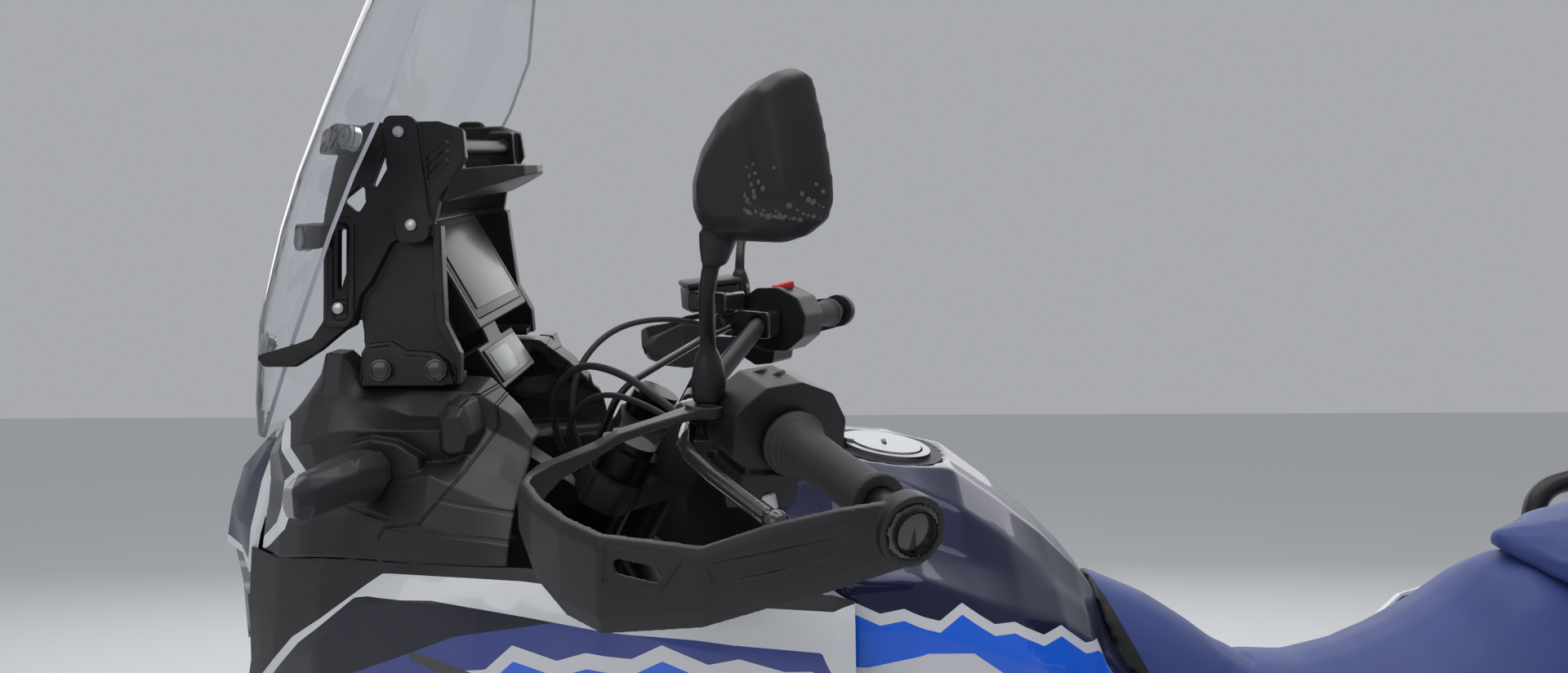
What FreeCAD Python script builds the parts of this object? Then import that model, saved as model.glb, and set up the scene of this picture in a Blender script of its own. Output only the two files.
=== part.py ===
"""Adventure motorcycle, parked on its side stand.

The machine is drawn upright in millimetres: X forward, Y to the rider's left, Z up, with the
ground at Z = 0 and X = 0 near the middle of the wheelbase. The last step leans every piece
over onto the side stand.
"""
import FreeCAD, Part
import math
import os

Vector = FreeCAD.Vector

# Driving dimensions of the whole machine
HEAD_X = 432.0           # the steering head's reference point, on its axis
HEAD_Z = 900.0
CASTER = 27.5            # steering axis from the vertical, degrees
TRAIL = 113.0
SWING_PIVOT_X = -168.0
SWING_PIVOT_Z = 428.0
SWING_LENGTH = 619.5     # from the swingarm's pivot back to the rear axle
LEAN = 11.6              # lean onto the side stand, degrees
CENTRE_SHIFT_X = 7.6     # brings the middle of the leaned machine over the origin
CENTRE_SHIFT_Y = -228.4
LEAN_SHARE = 1 - math.cos(math.radians(LEAN))
FRONT_AXLE_X = HEAD_X + HEAD_Z * math.tan(math.radians(CASTER)) - TRAIL
REAR_AXLE_X = SWING_PIVOT_X - SWING_LENGTH
RUNNING_GAP = 5.0        # between pieces that move past each other
SEAT_GAP = 0.3           # between soft and curved pieces that only rest together

# Wheels and tyres
FRONT_TYRE_WIDTH = 92.0
FRONT_TYRE_HEIGHT = 80.5  # from the bead to the tread
FRONT_BEAD_RADIUS = 267.0
FRONT_TYRE_RADIUS = FRONT_BEAD_RADIUS + FRONT_TYRE_HEIGHT
REAR_TYRE_WIDTH = 150.0
REAR_TYRE_HEIGHT = 105.0
REAR_BEAD_RADIUS = 229.0
REAR_TYRE_RADIUS = REAR_BEAD_RADIUS + REAR_TYRE_HEIGHT
TYRE_WALL = 9.0
RIM_SHARE = 0.36         # half the rim's width inside its flanges, of the tyre's width
RIM_SEAT = 2.0           # how far below the bead's named radius it sits on the rim
REAR_AXLE_Z = REAR_TYRE_RADIUS
# The narrower tyre drops less as the machine leans, so its axle sits that much lower
FRONT_AXLE_Z = FRONT_TYRE_RADIUS - (REAR_TYRE_WIDTH - FRONT_TYRE_WIDTH) / 2 * LEAN_SHARE / (1 - LEAN_SHARE)
BEARING_GAP = 0.1        # between a shaft and what turns on it
SPOKE_COUNT = 32
SPOKE_WIDTH = 4.5
FRONT_HUB_RADIUS = 30.0
FRONT_HUB_HALF = 44.0
REAR_HUB_RADIUS = 46.0
REAR_HUB_HALF = 52.0
FRONT_AXLE_RADIUS = 12.5
REAR_AXLE_RADIUS = 12.5
AXLE_BORE_RADIUS = 9.0
FRONT_DISC_RADIUS = 155.0
FRONT_DISC_Y = 72.0
REAR_DISC_RADIUS = 128.0
REAR_DISC_Y = 88.0
DISC_THICKNESS = 4.5

# Chain drive
CHAIN_Y = 101.0
CHAIN_HEIGHT = 15.0
CHAIN_WIDTH = 18.0
REAR_SPROCKET_RADIUS = 106.0
FRONT_SPROCKET_RADIUS = 41.0
FRONT_SPROCKET_X = -92.0
FRONT_SPROCKET_Z = 432.0

# Swingarm
SWING_INNER_Y = 118.0
SWING_WIDTH = 30.0

# Steering head, in its own axes: forward of the steering axis, left, up along it
HEAD_TUBE_RADIUS = 30.0
HEAD_TUBE_LOW = -28.0
HEAD_TUBE_HIGH = 138.0
STEM_RADIUS = 14.0
YOKE_THICKNESS = 28.0
FORK_Y = 106.0
FORK_OFFSET = 34.0
FORK_UPPER_RADIUS = 28.0
FORK_LOWER_RADIUS = 22.5
FORK_TOP = 196.0
FORK_SHOW = 7.0          # the lower tube shows from this far above the front tyre

SHOCK_TOP_X = -205.0
SHOCK_TOP_Z = 780.0
RAIL_RADIUS = 12.0

# Handlebar, through points on the left half
BAR_RADIUS = 11.0
BAR_CENTRE_RADIUS = 14.3
BAR_MIDDLE = Vector(HEAD_X - 119, 0, HEAD_Z + 205)
BAR_CLAMP_END = BAR_MIDDLE + Vector(0, 85, 0)
BAR_RISE_TOP = BAR_MIDDLE + Vector(-51, 215, 47)
BAR_TIP = BAR_MIDDLE + Vector(-159.5, 452, 29.8)
BAR_BEND = 60.0
GRIP_RADIUS = 16.5
GRIP_START = 95.0        # from the rise's top, along the bar
GRIP_LENGTH = 130.0

# Bodywork
PANEL = 3.5              # thickness of a moulded panel
SCREEN_THICKNESS = 4.0
CAP_X = 128.0
CAP_Z = 1056.5
CAP_TILT = 8.5
CAP_RADIUS = 37.0
CAP_COLLAR_RADIUS = 46.5
CAP_RING_RADIUS = 58.0
CAP_NECK_RADIUS = 30.0
CAP_HINGE_X = 48.0       # ahead of the cap's middle
CAP_HINGE_Z = 8.8
TOWER_Y = 120.0          # the screen tower's outer face, where it turns outwards
TOWER_TURN = 430.0       # that place above the steering head's reference point
TOWER_SPLAY = 10.6
TOWER_LOW = 258.0        # the tower's foot above the reference point
TOWER_PLATE = 10.0
DISPLAY_TILT = 28.0
CARRIER_HOLE_RADIUS = 3.3
CARRIER_HOLES = ((-780.0, 100.0), (-780.0, -100.0), (-1002.0, 26.0), (-1002.0, -26.0))

# Silencer, on the right
SILENCER_START = Vector(-330, -196, 470)
SILENCER_END = Vector(-880, -212, 640)

# Side stand: its pivot on the frame and the middle of its foot on the ground
STAND_PIVOT = Vector(-20, 126, 262)
STAND_FOOT = Vector(24, 292, 0)
STAND_TILT = 20.8        # of the pivot above the left, which folds the leg in beside the frame
STAND_BOSS = 20.0
STAND_LEG_RADIUS = 11.0


# Drawing helpers

def rounded_wire(points, radius=0.0):
    """A closed wire through the points of a flat outline, its corners rounded."""
    if not radius:
        return Part.makePolygon(list(points) + [points[0]])
    edges = []
    count = len(points)
    ends = []
    for i in range(count):
        corner, before, after = points[i], points[i - 1], points[(i + 1) % count]
        back, ahead = before - corner, after - corner
        half = back.getAngle(ahead) / 2
        reach = radius / math.tan(half)
        limit = 0.45 * min(back.Length, ahead.Length)
        used = min(reach, limit)
        start = corner + back.normalize() * used
        end = corner + ahead.normalize() * used
        middle_way = (start + end) * 0.5 - corner
        real_radius = used * math.tan(half)
        centre_far = real_radius / math.sin(half)
        middle = corner + middle_way.normalize() * (centre_far - real_radius)
        ends.append((start, middle, end))
    for i in range(count):
        start, middle, end = ends[i]
        edges.append(Part.Arc(start, middle, end).toShape())
        following = ends[(i + 1) % count][0]
        if end.distanceToPoint(following) > 1e-6:
            edges.append(Part.LineSegment(end, following).toShape())
    return Part.Wire(edges)


def flat_points(plane, outline, level):
    """Points of an outline drawn in the xz, xy or yz plane at a level on the third axis."""
    place = {"xz": lambda u, v: Vector(u, level, v),
             "xy": lambda u, v: Vector(u, v, level),
             "yz": lambda u, v: Vector(level, u, v)}[plane]
    return [place(u, v) for u, v in outline]


def prism(plane, outline, start, end, radius=0.0):
    """A straight solid of an outline between two levels of the axis across its plane."""
    axis = {"xz": Vector(0, 1, 0), "xy": Vector(0, 0, 1), "yz": Vector(1, 0, 0)}[plane]
    wire = rounded_wire(flat_points(plane, outline, start), radius)
    return Part.Face(wire).extrude(axis * (end - start))


def rod(start, end, radius):
    """A round bar between two points."""
    along = end - start
    return Part.makeCylinder(radius, along.Length, start, along)


def tube(points, radius, bend):
    """A round bar along straight runs joined by tangent arcs."""
    edges = []
    position = points[0]
    for i in range(1, len(points) - 1):
        corner = points[i]
        back, ahead = points[i - 1] - corner, points[i + 1] - corner
        half = back.getAngle(ahead) / 2
        used = min(bend / math.tan(half), 0.45 * min(back.Length, ahead.Length))
        start = corner + back.normalize() * used
        end = corner + ahead.normalize() * used
        real_radius = used * math.tan(half)
        inward = ((start + end) * 0.5 - corner).normalize()
        middle = corner + inward * (real_radius / math.sin(half) - real_radius)
        edges.append(Part.LineSegment(position, start).toShape())
        edges.append(Part.Arc(start, middle, end).toShape())
        position = end
    edges.append(Part.LineSegment(position, points[-1]).toShape())
    path = Part.Wire(edges)
    circle = Part.Wire(Part.makeCircle(radius, points[0], points[1] - points[0]))
    return path.makePipeShell([circle], True, False)


def loft(wires, ruled=True):
    return Part.makeLoft(wires, True, ruled)


def spin(outline, centre_x, centre_z, angle=360.0):
    """A solid of revolution about a wheel's axle. The outline is of (radius, y) points."""
    points = [Vector(centre_x, y, centre_z + r) for r, y in outline]
    face = Part.Face(Part.makePolygon(points + [points[0]]))
    return face.revolve(Vector(centre_x, 0, centre_z), Vector(0, 1, 0), angle)


def mirrored(shape):
    return shape.mirror(Vector(0, 0, 0), Vector(0, 1, 0))


def pair(shape):
    """The left piece with its mirror image on the right."""
    return Part.makeCompound([shape, mirrored(shape)])


def joined(shapes):
    result = shapes[0].fuse(shapes[1:]) if len(shapes) > 1 else shapes[0]
    return result.removeSplitter()


def to_head(shape):
    """Moves a piece drawn in the steering head's axes to its place."""
    moved = shape.copy()
    moved.rotate(Vector(0, 0, 0), Vector(0, 1, 0), -CASTER)
    moved.translate(Vector(HEAD_X, 0, HEAD_Z))
    return moved


def head_point(forward, left, up):
    """A point given in the steering head's axes."""
    c, s = math.cos(math.radians(CASTER)), math.sin(math.radians(CASTER))
    return Vector(HEAD_X + forward * c - up * s, left, HEAD_Z + forward * s + up * c)


def in_head(point):
    """The steering head's own coordinates of a point: forward, left, up."""
    c, s = math.cos(math.radians(CASTER)), math.sin(math.radians(CASTER))
    x, z = point.x - HEAD_X, point.z - HEAD_Z
    return Vector(x * c + z * s, point.y, -x * s + z * c)


def cockpit(shape):
    """Moves a piece drawn from the steering head's reference point, but level, to its place."""
    moved = shape.copy()
    moved.translate(Vector(HEAD_X, 0, HEAD_Z))
    return moved


def with_bars(shape):
    """Moves a piece drawn from the middle of the handlebar to its place."""
    moved = shape.copy()
    moved.translate(BAR_MIDDLE)
    return moved


def inset(points, thickness):
    """The inner side of an open outline in (y, z), drawn from top to bottom on the left."""
    inner = []
    for i, (y, z) in enumerate(points):
        sides = []
        if i > 0:
            sides.append((y - points[i - 1][0], z - points[i - 1][1]))
        if i < len(points) - 1:
            sides.append((points[i + 1][0] - y, points[i + 1][1] - z))
        normals = []
        for dy, dz in sides:
            length = math.hypot(dy, dz)
            normals.append((dz / length, -dy / length))
        ny = sum(n[0] for n in normals)
        nz = sum(n[1] for n in normals)
        reach = 2 * thickness / (ny * ny + nz * nz) if len(normals) == 2 else thickness
        inner.append((y + ny * reach, z + nz * reach))
    return inner


def skin(stations, thickness=PANEL):
    """A moulded panel: at each x, outer (y, z) points from top to bottom, thickened inwards."""
    wires = []
    for x, outer in stations:
        ring = outer + list(reversed(inset(outer, thickness)))
        wires.append(Part.makePolygon([Vector(x, y, z) for y, z in ring + ring[:1]]))
    return loft(wires)


def largest(shape):
    """The main solid of a piece that a cut left with trimmings."""
    return max(shape.Solids, key=lambda solid: solid.Volume)


def axle_in_head():
    """The front axle in the steering head's coordinates."""
    return in_head(Vector(FRONT_AXLE_X, 0, FRONT_AXLE_Z))


def fork_join():
    """How far up the steering axis the fork's wide upper tube ends."""
    return axle_in_head().z + FRONT_TYRE_RADIUS + FORK_SHOW


def stand_axis():
    """The side stand's pivot axis, tilted up from the left."""
    return Vector(0, math.cos(math.radians(STAND_TILT)), math.sin(math.radians(STAND_TILT)))


# Wheels

def tyre(axle_x, axle_z, radius, width, bead):
    """A tyre's carcass: a round crown, straight lower walls and open beads."""
    crown = width / 2
    centre = radius - crown
    wall_foot = bead - RIM_SEAT
    flange_top = bead + 7
    rim_half = width * RIM_SHARE
    edges = []

    def at(r, y):
        return Vector(axle_x, y, axle_z + r)

    def turn(distance, angle):
        return at(centre + distance * math.cos(angle), distance * math.sin(angle))

    wide = math.pi / 2
    inner = crown - TYRE_WALL
    edges.append(Part.Arc(turn(crown, -wide), turn(crown, 0), turn(crown, wide)).toShape())
    edges.append(Part.LineSegment(turn(crown, wide), at(flange_top, rim_half)).toShape())
    edges.append(Part.LineSegment(at(flange_top, rim_half), at(wall_foot, rim_half)).toShape())
    edges.append(Part.LineSegment(at(wall_foot, rim_half), at(wall_foot, rim_half - TYRE_WALL)).toShape())
    edges.append(Part.LineSegment(at(wall_foot, rim_half - TYRE_WALL), turn(inner, wide)).toShape())
    edges.append(Part.Arc(turn(inner, wide), turn(inner, 0), turn(inner, -wide)).toShape())
    edges.append(Part.LineSegment(turn(inner, -wide), at(wall_foot, TYRE_WALL - rim_half)).toShape())
    edges.append(Part.LineSegment(at(wall_foot, TYRE_WALL - rim_half), at(wall_foot, -rim_half)).toShape())
    edges.append(Part.LineSegment(at(wall_foot, -rim_half), at(flange_top, -rim_half)).toShape())
    edges.append(Part.LineSegment(at(flange_top, -rim_half), turn(crown, -wide)).toShape())
    face = Part.Face(Part.Wire(edges))
    return face.revolve(Vector(axle_x, 0, axle_z), Vector(0, 1, 0), 360)


def spoked_wheel(axle_x, axle_z, bead, half_width, hub_radius, hub_half, hole_radius, left_boss, right_boss):
    """A rim and hub joined by crossed spokes that reach the rim's outer edges."""
    boss = hole_radius + 20
    seat = bead - RIM_SEAT
    half = [(seat - 4, half_width), (bead + 6, half_width), (bead + 6, half_width - 3),
            (seat, half_width - 3),
            (seat, half_width - 14), (bead - 14, half_width * 0.4)]
    under = [(bead - 20, half_width * 0.4), (bead - 13, half_width - 9)]
    rim = spin(half + [(r, -y) for r, y in reversed(half)] + [(r, -y) for r, y in reversed(under)] + under,
               axle_x, axle_z)
    hub = spin([(hole_radius, -right_boss), (boss, -right_boss), (boss, -hub_half),
                (hub_radius + 12, -hub_half),
                (hub_radius + 12, 8 - hub_half), (hub_radius, 14 - hub_half), (hub_radius, hub_half - 14),
                (hub_radius + 12, hub_half - 8), (hub_radius + 12, hub_half), (boss, hub_half),
                (boss, left_boss),
                (hole_radius, left_boss)], axle_x, axle_z)
    spokes = []
    for i in range(SPOKE_COUNT):
        side = 1 if i % 2 else -1
        lead = 1 if i % 4 < 2 else -1
        rim_angle = 2 * math.pi * i / SPOKE_COUNT
        hub_angle = rim_angle + lead * math.radians(38)
        inner = hub_radius + 6
        outer = bead - 9
        apart = lead * SPOKE_WIDTH * 0.6
        hub_y, rim_y = side * (hub_half - 5) + apart, side * (half_width - 11) + apart
        a = Vector(axle_x + inner * math.sin(hub_angle), hub_y, axle_z + inner * math.cos(hub_angle))
        b = Vector(axle_x + outer * math.sin(rim_angle), rim_y, axle_z + outer * math.cos(rim_angle))
        spokes.append(square_rod(a, b, SPOKE_WIDTH))
    return joined([rim, hub] + spokes)


def square_rod(start, end, width):
    """A thin straight bar with flat sides between two points."""
    along = end - start
    side = along.cross(Vector(0, 1, 0)).normalize() * (width / 2)
    across = along.cross(side).normalize() * (width / 2)
    corners = [start + side + across, start + side - across, start - side - across, start - side + across]
    return Part.Face(Part.makePolygon(corners + corners[:1])).extrude(along)


def brake_disc(axle_x, axle_z, radius, y, arms=6):
    """A braking ring on the arms of its carrier, which sits on the end of the hub's boss."""
    low, high = y - DISC_THICKNESS / 2, y + DISC_THICKNESS / 2
    band = radius * 0.24
    ring = spin([(radius - band, low), (radius, low), (radius, high), (radius - band, high)], axle_x, axle_z)
    inner = 48
    hole = FRONT_AXLE_RADIUS + 4
    carrier = spin([(hole, low), (inner + 12, low), (inner + 12, high), (hole, high)], axle_x, axle_z)
    pieces = [ring, carrier]
    for i in range(arms):
        angle = 2 * math.pi * i / arms
        swept = angle + math.radians(16)
        a = Vector(axle_x + (inner + 8) * math.sin(angle), y, axle_z + (inner + 8) * math.cos(angle))
        reach = radius - band + 4
        b = Vector(axle_x + reach * math.sin(swept), y, axle_z + reach * math.cos(swept))
        along = b - a
        side = along.cross(Vector(0, 1, 0)).normalize() * 9
        lift = Vector(0, DISC_THICKNESS / 2, 0)
        corners = [a + side - lift, b + side - lift, b - side - lift, a - side - lift]
        pieces.append(Part.Face(Part.makePolygon(corners + corners[:1])).extrude(lift * 2))
    return joined(pieces)


def front_wheel():
    z = FRONT_AXLE_Z
    rim_half = FRONT_TYRE_WIDTH * RIM_SHARE + 3
    boss = FRONT_DISC_Y - DISC_THICKNESS / 2
    return {
        "front_tyre": tyre(FRONT_AXLE_X, z, FRONT_TYRE_RADIUS, FRONT_TYRE_WIDTH, FRONT_BEAD_RADIUS),
        "front_wheel_rim": spoked_wheel(FRONT_AXLE_X, z, FRONT_BEAD_RADIUS, rim_half, FRONT_HUB_RADIUS,
                                        FRONT_HUB_HALF, FRONT_AXLE_RADIUS + BEARING_GAP, boss, boss),
        "front_discs": pair(brake_disc(FRONT_AXLE_X, z, FRONT_DISC_RADIUS, FRONT_DISC_Y)),
    }


def rear_sprocket():
    """The chain wheel: its teeth stop short of the chain's rollers, which do not turn."""
    teeth = 42
    tip = REAR_SPROCKET_RADIUS - CHAIN_HEIGHT / 2 - RUNNING_GAP
    root = tip - 5
    points = []
    for i in range(teeth):
        for share, r in ((0.0, root), (0.3, tip), (0.7, tip)):
            a = 2 * math.pi * (i + share) / teeth
            points.append((REAR_AXLE_X + r * math.sin(a), REAR_TYRE_RADIUS + r * math.cos(a)))
    plate = prism("xz", points, CHAIN_Y - 3, CHAIN_Y + 3)
    hole = rod(Vector(REAR_AXLE_X, CHAIN_Y - 4, REAR_TYRE_RADIUS),
               Vector(REAR_AXLE_X, CHAIN_Y + 4, REAR_TYRE_RADIUS), 30)
    plate = plate.cut(hole)
    for i in range(6):
        a = math.radians(60 * i + 30)
        centre = Vector(REAR_AXLE_X + 68 * math.sin(a), CHAIN_Y - 4, REAR_TYRE_RADIUS + 68 * math.cos(a))
        plate = plate.cut(Part.makeCylinder(15, 8, centre, Vector(0, 1, 0)))
    carrier = spin([(30, REAR_HUB_HALF), (58, REAR_HUB_HALF), (58, CHAIN_Y - 3), (30, CHAIN_Y - 3)],
                   REAR_AXLE_X, REAR_TYRE_RADIUS)
    return joined([plate, carrier])


def rear_wheel():
    z = REAR_AXLE_Z
    rim_half = REAR_TYRE_WIDTH * RIM_SHARE + 3
    boss = REAR_DISC_Y - DISC_THICKNESS / 2
    return {
        "rear_tyre": tyre(REAR_AXLE_X, z, REAR_TYRE_RADIUS, REAR_TYRE_WIDTH, REAR_BEAD_RADIUS),
        "rear_wheel_rim": spoked_wheel(REAR_AXLE_X, z, REAR_BEAD_RADIUS, rim_half, REAR_HUB_RADIUS,
                                       REAR_HUB_HALF, REAR_AXLE_RADIUS + BEARING_GAP, REAR_HUB_HALF, boss),
        "rear_disc": mirrored(brake_disc(REAR_AXLE_X, z, REAR_DISC_RADIUS, REAR_DISC_Y, 5)),
        "rear_sprocket": rear_sprocket(),
    }


# Frame, engine and rear suspension

def frame():
    """Steel cradle: steering head, top beams, down tubes and the plates at the swingarm's pivot."""
    head = to_head(Part.makeCylinder(HEAD_TUBE_RADIUS, HEAD_TUBE_HIGH - HEAD_TUBE_LOW,
                                     Vector(0, 0, HEAD_TUBE_LOW)))
    bore = to_head(Part.makeCylinder(STEM_RADIUS + 0.1, 400, Vector(0, 0, -150)))
    top_beam = tube([head_point(-14, 12, 70), Vector(HEAD_X - 132, 95, HEAD_Z - 48), Vector(60, 120, 800),
                     Vector(-70, 118, 790), Vector(-150, 84, 540)], 17, 90)
    down_tube = tube([head_point(-10, 14, 26), Vector(HEAD_X - 100, 62, HEAD_Z - 180), Vector(262, 88, 330),
                      Vector(190, 96, 262), Vector(-90, 96, 262), Vector(-150, 84, 350)], 14, 60)
    brace = rod(Vector(HEAD_X - 132, 92, HEAD_Z - 50), Vector(HEAD_X - 102, 60, HEAD_Z - 200), 10)
    plate = prism("xz", [(-132, 545), (-200, 520), (-215, 380), (-185, 320), (-134, 320)], 76, 89, 12)
    cross = [rod(Vector(10, -112, 796), Vector(10, 112, 796), 12),
             rod(Vector(-155, -80, 335), Vector(-155, 80, 335), 14)]
    lug = rod(STAND_PIVOT - stand_axis() * 22, STAND_PIVOT, 20)
    left = joined([top_beam, down_tube, plate])
    whole = joined([head, left, mirrored(left), brace, mirrored(brace), lug] + cross)
    pivot = rod(Vector(SWING_PIVOT_X, -200, SWING_PIVOT_Z), Vector(SWING_PIVOT_X, 200, SWING_PIVOT_Z), 13)
    whole = whole.cut(bore).cut(pivot)
    bolt = rod(STAND_PIVOT - stand_axis() * 10, STAND_PIVOT + stand_axis() * (STAND_BOSS + 6), 6)
    head_of_bolt = rod(STAND_PIVOT + stand_axis() * (STAND_BOSS + 1),
                       STAND_PIVOT + stand_axis() * (STAND_BOSS + 6), 11)
    return joined([whole, bolt, head_of_bolt])


def subframe():
    """The rear frame that carries the seats, the carrier and the tail."""
    upper = tube([Vector(-60, 118, 788), Vector(-300, 108, 745), Vector(-500, 104, 809),
                  Vector(-880, 90, 912)],
                 RAIL_RADIUS, 120)
    lower = tube([Vector(-160, 86, 520), Vector(-250, 100, 590), Vector(-520, 106, 770),
                  Vector(-640, 99, 848)], 10, 60)
    left = joined([upper, lower])
    cross = [rod(Vector(x, -100, z), Vector(x, 100, z), 10)
             for x, z in ((-300, 747), (-560, 825), (-860, 906))]
    shock_mount = rod(Vector(SHOCK_TOP_X, -113, SHOCK_TOP_Z), Vector(SHOCK_TOP_X, 113, SHOCK_TOP_Z), 12)
    hanger = rod(Vector(-560, -104, 826), Vector(-600, -172, 590), 6)
    return joined([left, mirrored(left), shock_mount, hanger] + cross)


def engine():
    """Parallel twin: crankcase, two covers, forward-leaning cylinders and head, and the sump."""
    case = prism("xz", [(-128, 520), (-128, 380), (-60, 300), (150, 292), (212, 335), (220, 450), (190, 540),
                        (0, 560)],
                 -86, 86, 22)
    barrel = prism("xz", [(10, 540), (190, 505), (228, 690), (218, 742), (58, 772), (30, 730)], -116, 116, 14)
    head_cover = prism("xz", [(56, 765), (222, 738), (214, 795), (76, 818)], -92, 92, 14)
    left_cover = Part.makeCylinder(88, 34, Vector(120, 85, 412), Vector(0, 1, 0))
    left_boss = Part.makeCylinder(46, 14, Vector(120, 118, 412), Vector(0, 1, 0))
    clutch_cover = Part.makeCylinder(98, 52, Vector(20, -85, 425), Vector(0, -1, 0))
    clutch_boss = Part.makeCylinder(58, 14, Vector(20, -136, 425), Vector(0, -1, 0))
    pump_cover = Part.makeCylinder(52, 40, Vector(150, -85, 372), Vector(0, -1, 0))
    block = joined([case, barrel, head_cover, left_cover, left_boss, clutch_cover, clutch_boss, pump_cover])
    for level in (585, 610, 635, 660):
        groove = prism("xz", [(0, level), (260, level - 28), (260, level - 20), (0, level + 8)], 110, 130)
        block = block.cut(groove).cut(mirrored(groove))
    inside = FRONT_SPROCKET_RADIUS - CHAIN_HEIGHT / 2
    drive = rod(Vector(FRONT_SPROCKET_X, 80, FRONT_SPROCKET_Z),
                Vector(FRONT_SPROCKET_X, CHAIN_Y + 4, FRONT_SPROCKET_Z),
                inside - SEAT_GAP)
    return joined([block, drive])


def sprocket_cover():
    """The cover over the front end of the chain, with the wall that stands on the crankcase."""
    inner, outer = CHAIN_Y + CHAIN_WIDTH / 2 + 3, CHAIN_Y + CHAIN_WIDTH / 2 + 13
    plate = prism("xz", [(-22, 512), (-128, 500), (-130, 388), (-108, 352), (-22, 362)], inner, outer, 14)
    wall = prism("xz", [(-24, 500), (-34, 500), (-34, 374), (-24, 374)], 86, inner + 1)
    return joined([plate, wall])


def skid_plate():
    """Folded aluminium plate in front of and below the engine."""
    top = 262 - 14 - SEAT_GAP
    low = top - 4
    outline = [(305, 430), (300, 330), (235, low), (10, low), (10, top), (233, top), (296, 331), (301, 430)]
    plate = prism("xz", outline, -112, 112)
    wing = prism("xz", [(302, 410), (298, 331), (234, low + 1), (60, low + 1), (60, low + 22),
                        (150, low + 60)], 112, 116)
    plate = joined([plate, wing, mirrored(wing)])
    for x in (35, 85, 135, 185):
        plate = plate.cut(Part.makeBox(14, 90, 20, Vector(x, -45, low - 8)))
    return plate


def radiator():
    """Radiator with side tanks and a core behind raised fins."""
    x, z = HEAD_X - 82, HEAD_Z - 335
    core = Part.makeBox(26, 250, 230, Vector(x, -125, z))
    tanks = Part.makeBox(34, 26, 246, Vector(x - 4, 125, z - 8))
    fins = [Part.makeBox(4, 250, 5, Vector(x + 26, -125, z + 10 + 20 * i)) for i in range(11)]
    foot = Part.makeBox(24, 14, 30, Vector(x - 20, 52, z + 75))
    return joined([core, tanks, mirrored(tanks), foot, mirrored(foot)] + fins)


def swingarm():
    """Two beams from the pivot to the axle, joined by a cross box ahead of the tyre."""
    rear_z = REAR_TYRE_RADIUS
    y0, y1 = SWING_INNER_Y, SWING_INNER_Y + SWING_WIDTH
    beam = prism("xz", [(SWING_PIVOT_X + 32, SWING_PIVOT_Z + 26), (SWING_PIVOT_X - 120, SWING_PIVOT_Z + 30),
                        (REAR_AXLE_X + 60, rear_z + 34), (REAR_AXLE_X - 62, rear_z + 30), (REAR_AXLE_X - 62,
                                rear_z - 30),
                        (REAR_AXLE_X + 60, rear_z - 34), (SWING_PIVOT_X - 120, SWING_PIVOT_Z - 38),
                        (SWING_PIVOT_X + 32, SWING_PIVOT_Z - 30)], y0, y1, 12)
    box = prism("xz", [(SWING_PIVOT_X - 55, SWING_PIVOT_Z + 22), (SWING_PIVOT_X - 130, SWING_PIVOT_Z + 16),
                       (SWING_PIVOT_X - 130, SWING_PIVOT_Z - 26), (SWING_PIVOT_X - 55,
                               SWING_PIVOT_Z - 24)], -y0 - 1, y0 + 1, 8)
    slot = prism("xz", [(REAR_AXLE_X + 26, rear_z + 12.7), (REAR_AXLE_X - 26, rear_z + 12.7),
                        (REAR_AXLE_X - 26, rear_z - 12.7), (REAR_AXLE_X + 26,
                                                            rear_z - 12.7)], y0 - 1, y1 + 1, 12.6)
    recess = prism("xz", [(SWING_PIVOT_X - 60, SWING_PIVOT_Z + 8), (SWING_PIVOT_X - 180, SWING_PIVOT_Z + 4),
                          (REAR_AXLE_X + 110, rear_z + 12), (REAR_AXLE_X + 110, rear_z - 12),
                          (SWING_PIVOT_X - 180, SWING_PIVOT_Z - 14), (SWING_PIVOT_X - 60,
                                  SWING_PIVOT_Z - 12)], y1 - 3, y1 + 1, 6)
    whole = joined([beam, mirrored(beam), box])
    pin = rod(Vector(SWING_PIVOT_X, -200, SWING_PIVOT_Z), Vector(SWING_PIVOT_X, 200, SWING_PIVOT_Z), 13)
    return whole.cut(slot).cut(mirrored(slot)).cut(recess).cut(mirrored(recess)).cut(pin)


def axle(x, z, radius, half):
    """A hollow wheel spindle with a flange on its left end and a nut on its right."""
    shaft = rod(Vector(x, -half, z), Vector(x, half, z), radius)
    flange = rod(Vector(x, half - 8, z), Vector(x, half, z), radius + 6)
    nut = rod(Vector(x, -half, z), Vector(x, 8 - half, z), radius + 6)
    bore = rod(Vector(x, -half - 1, z), Vector(x, half + 1, z), AXLE_BORE_RADIUS)
    return joined([shaft, flange, nut]).cut(bore)


def rear_spindles():
    """The spindle through the frame plates and the swingarm, and the rear wheel's."""
    half = SWING_INNER_Y + SWING_WIDTH + 8
    pivot = rod(Vector(SWING_PIVOT_X, -half, SWING_PIVOT_Z), Vector(SWING_PIVOT_X, half, SWING_PIVOT_Z), 13)
    return Part.makeCompound([pivot, axle(REAR_AXLE_X, REAR_AXLE_Z, REAR_AXLE_RADIUS, half)])


def rear_shock():
    """Spring strut behind the engine, with the coils as ribs."""
    eye = 17
    top = Vector(SHOCK_TOP_X, 0, SHOCK_TOP_Z - 12 - eye - SEAT_GAP)
    low = Vector(-238, 0, SWING_PIVOT_Z + 22 + eye + SEAT_GAP)
    along = (low - top).normalize()
    body = rod(top + along * 12, low - along * 12, 20)
    coils = [Part.makeCylinder(33, 11, top + along * (55 + 19 * i), along) for i in range(9)]
    eyes = [rod(Vector(p.x, -14, p.z), Vector(p.x, 14, p.z), eye) for p in (top, low)]
    return joined([body] + coils + eyes)


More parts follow.
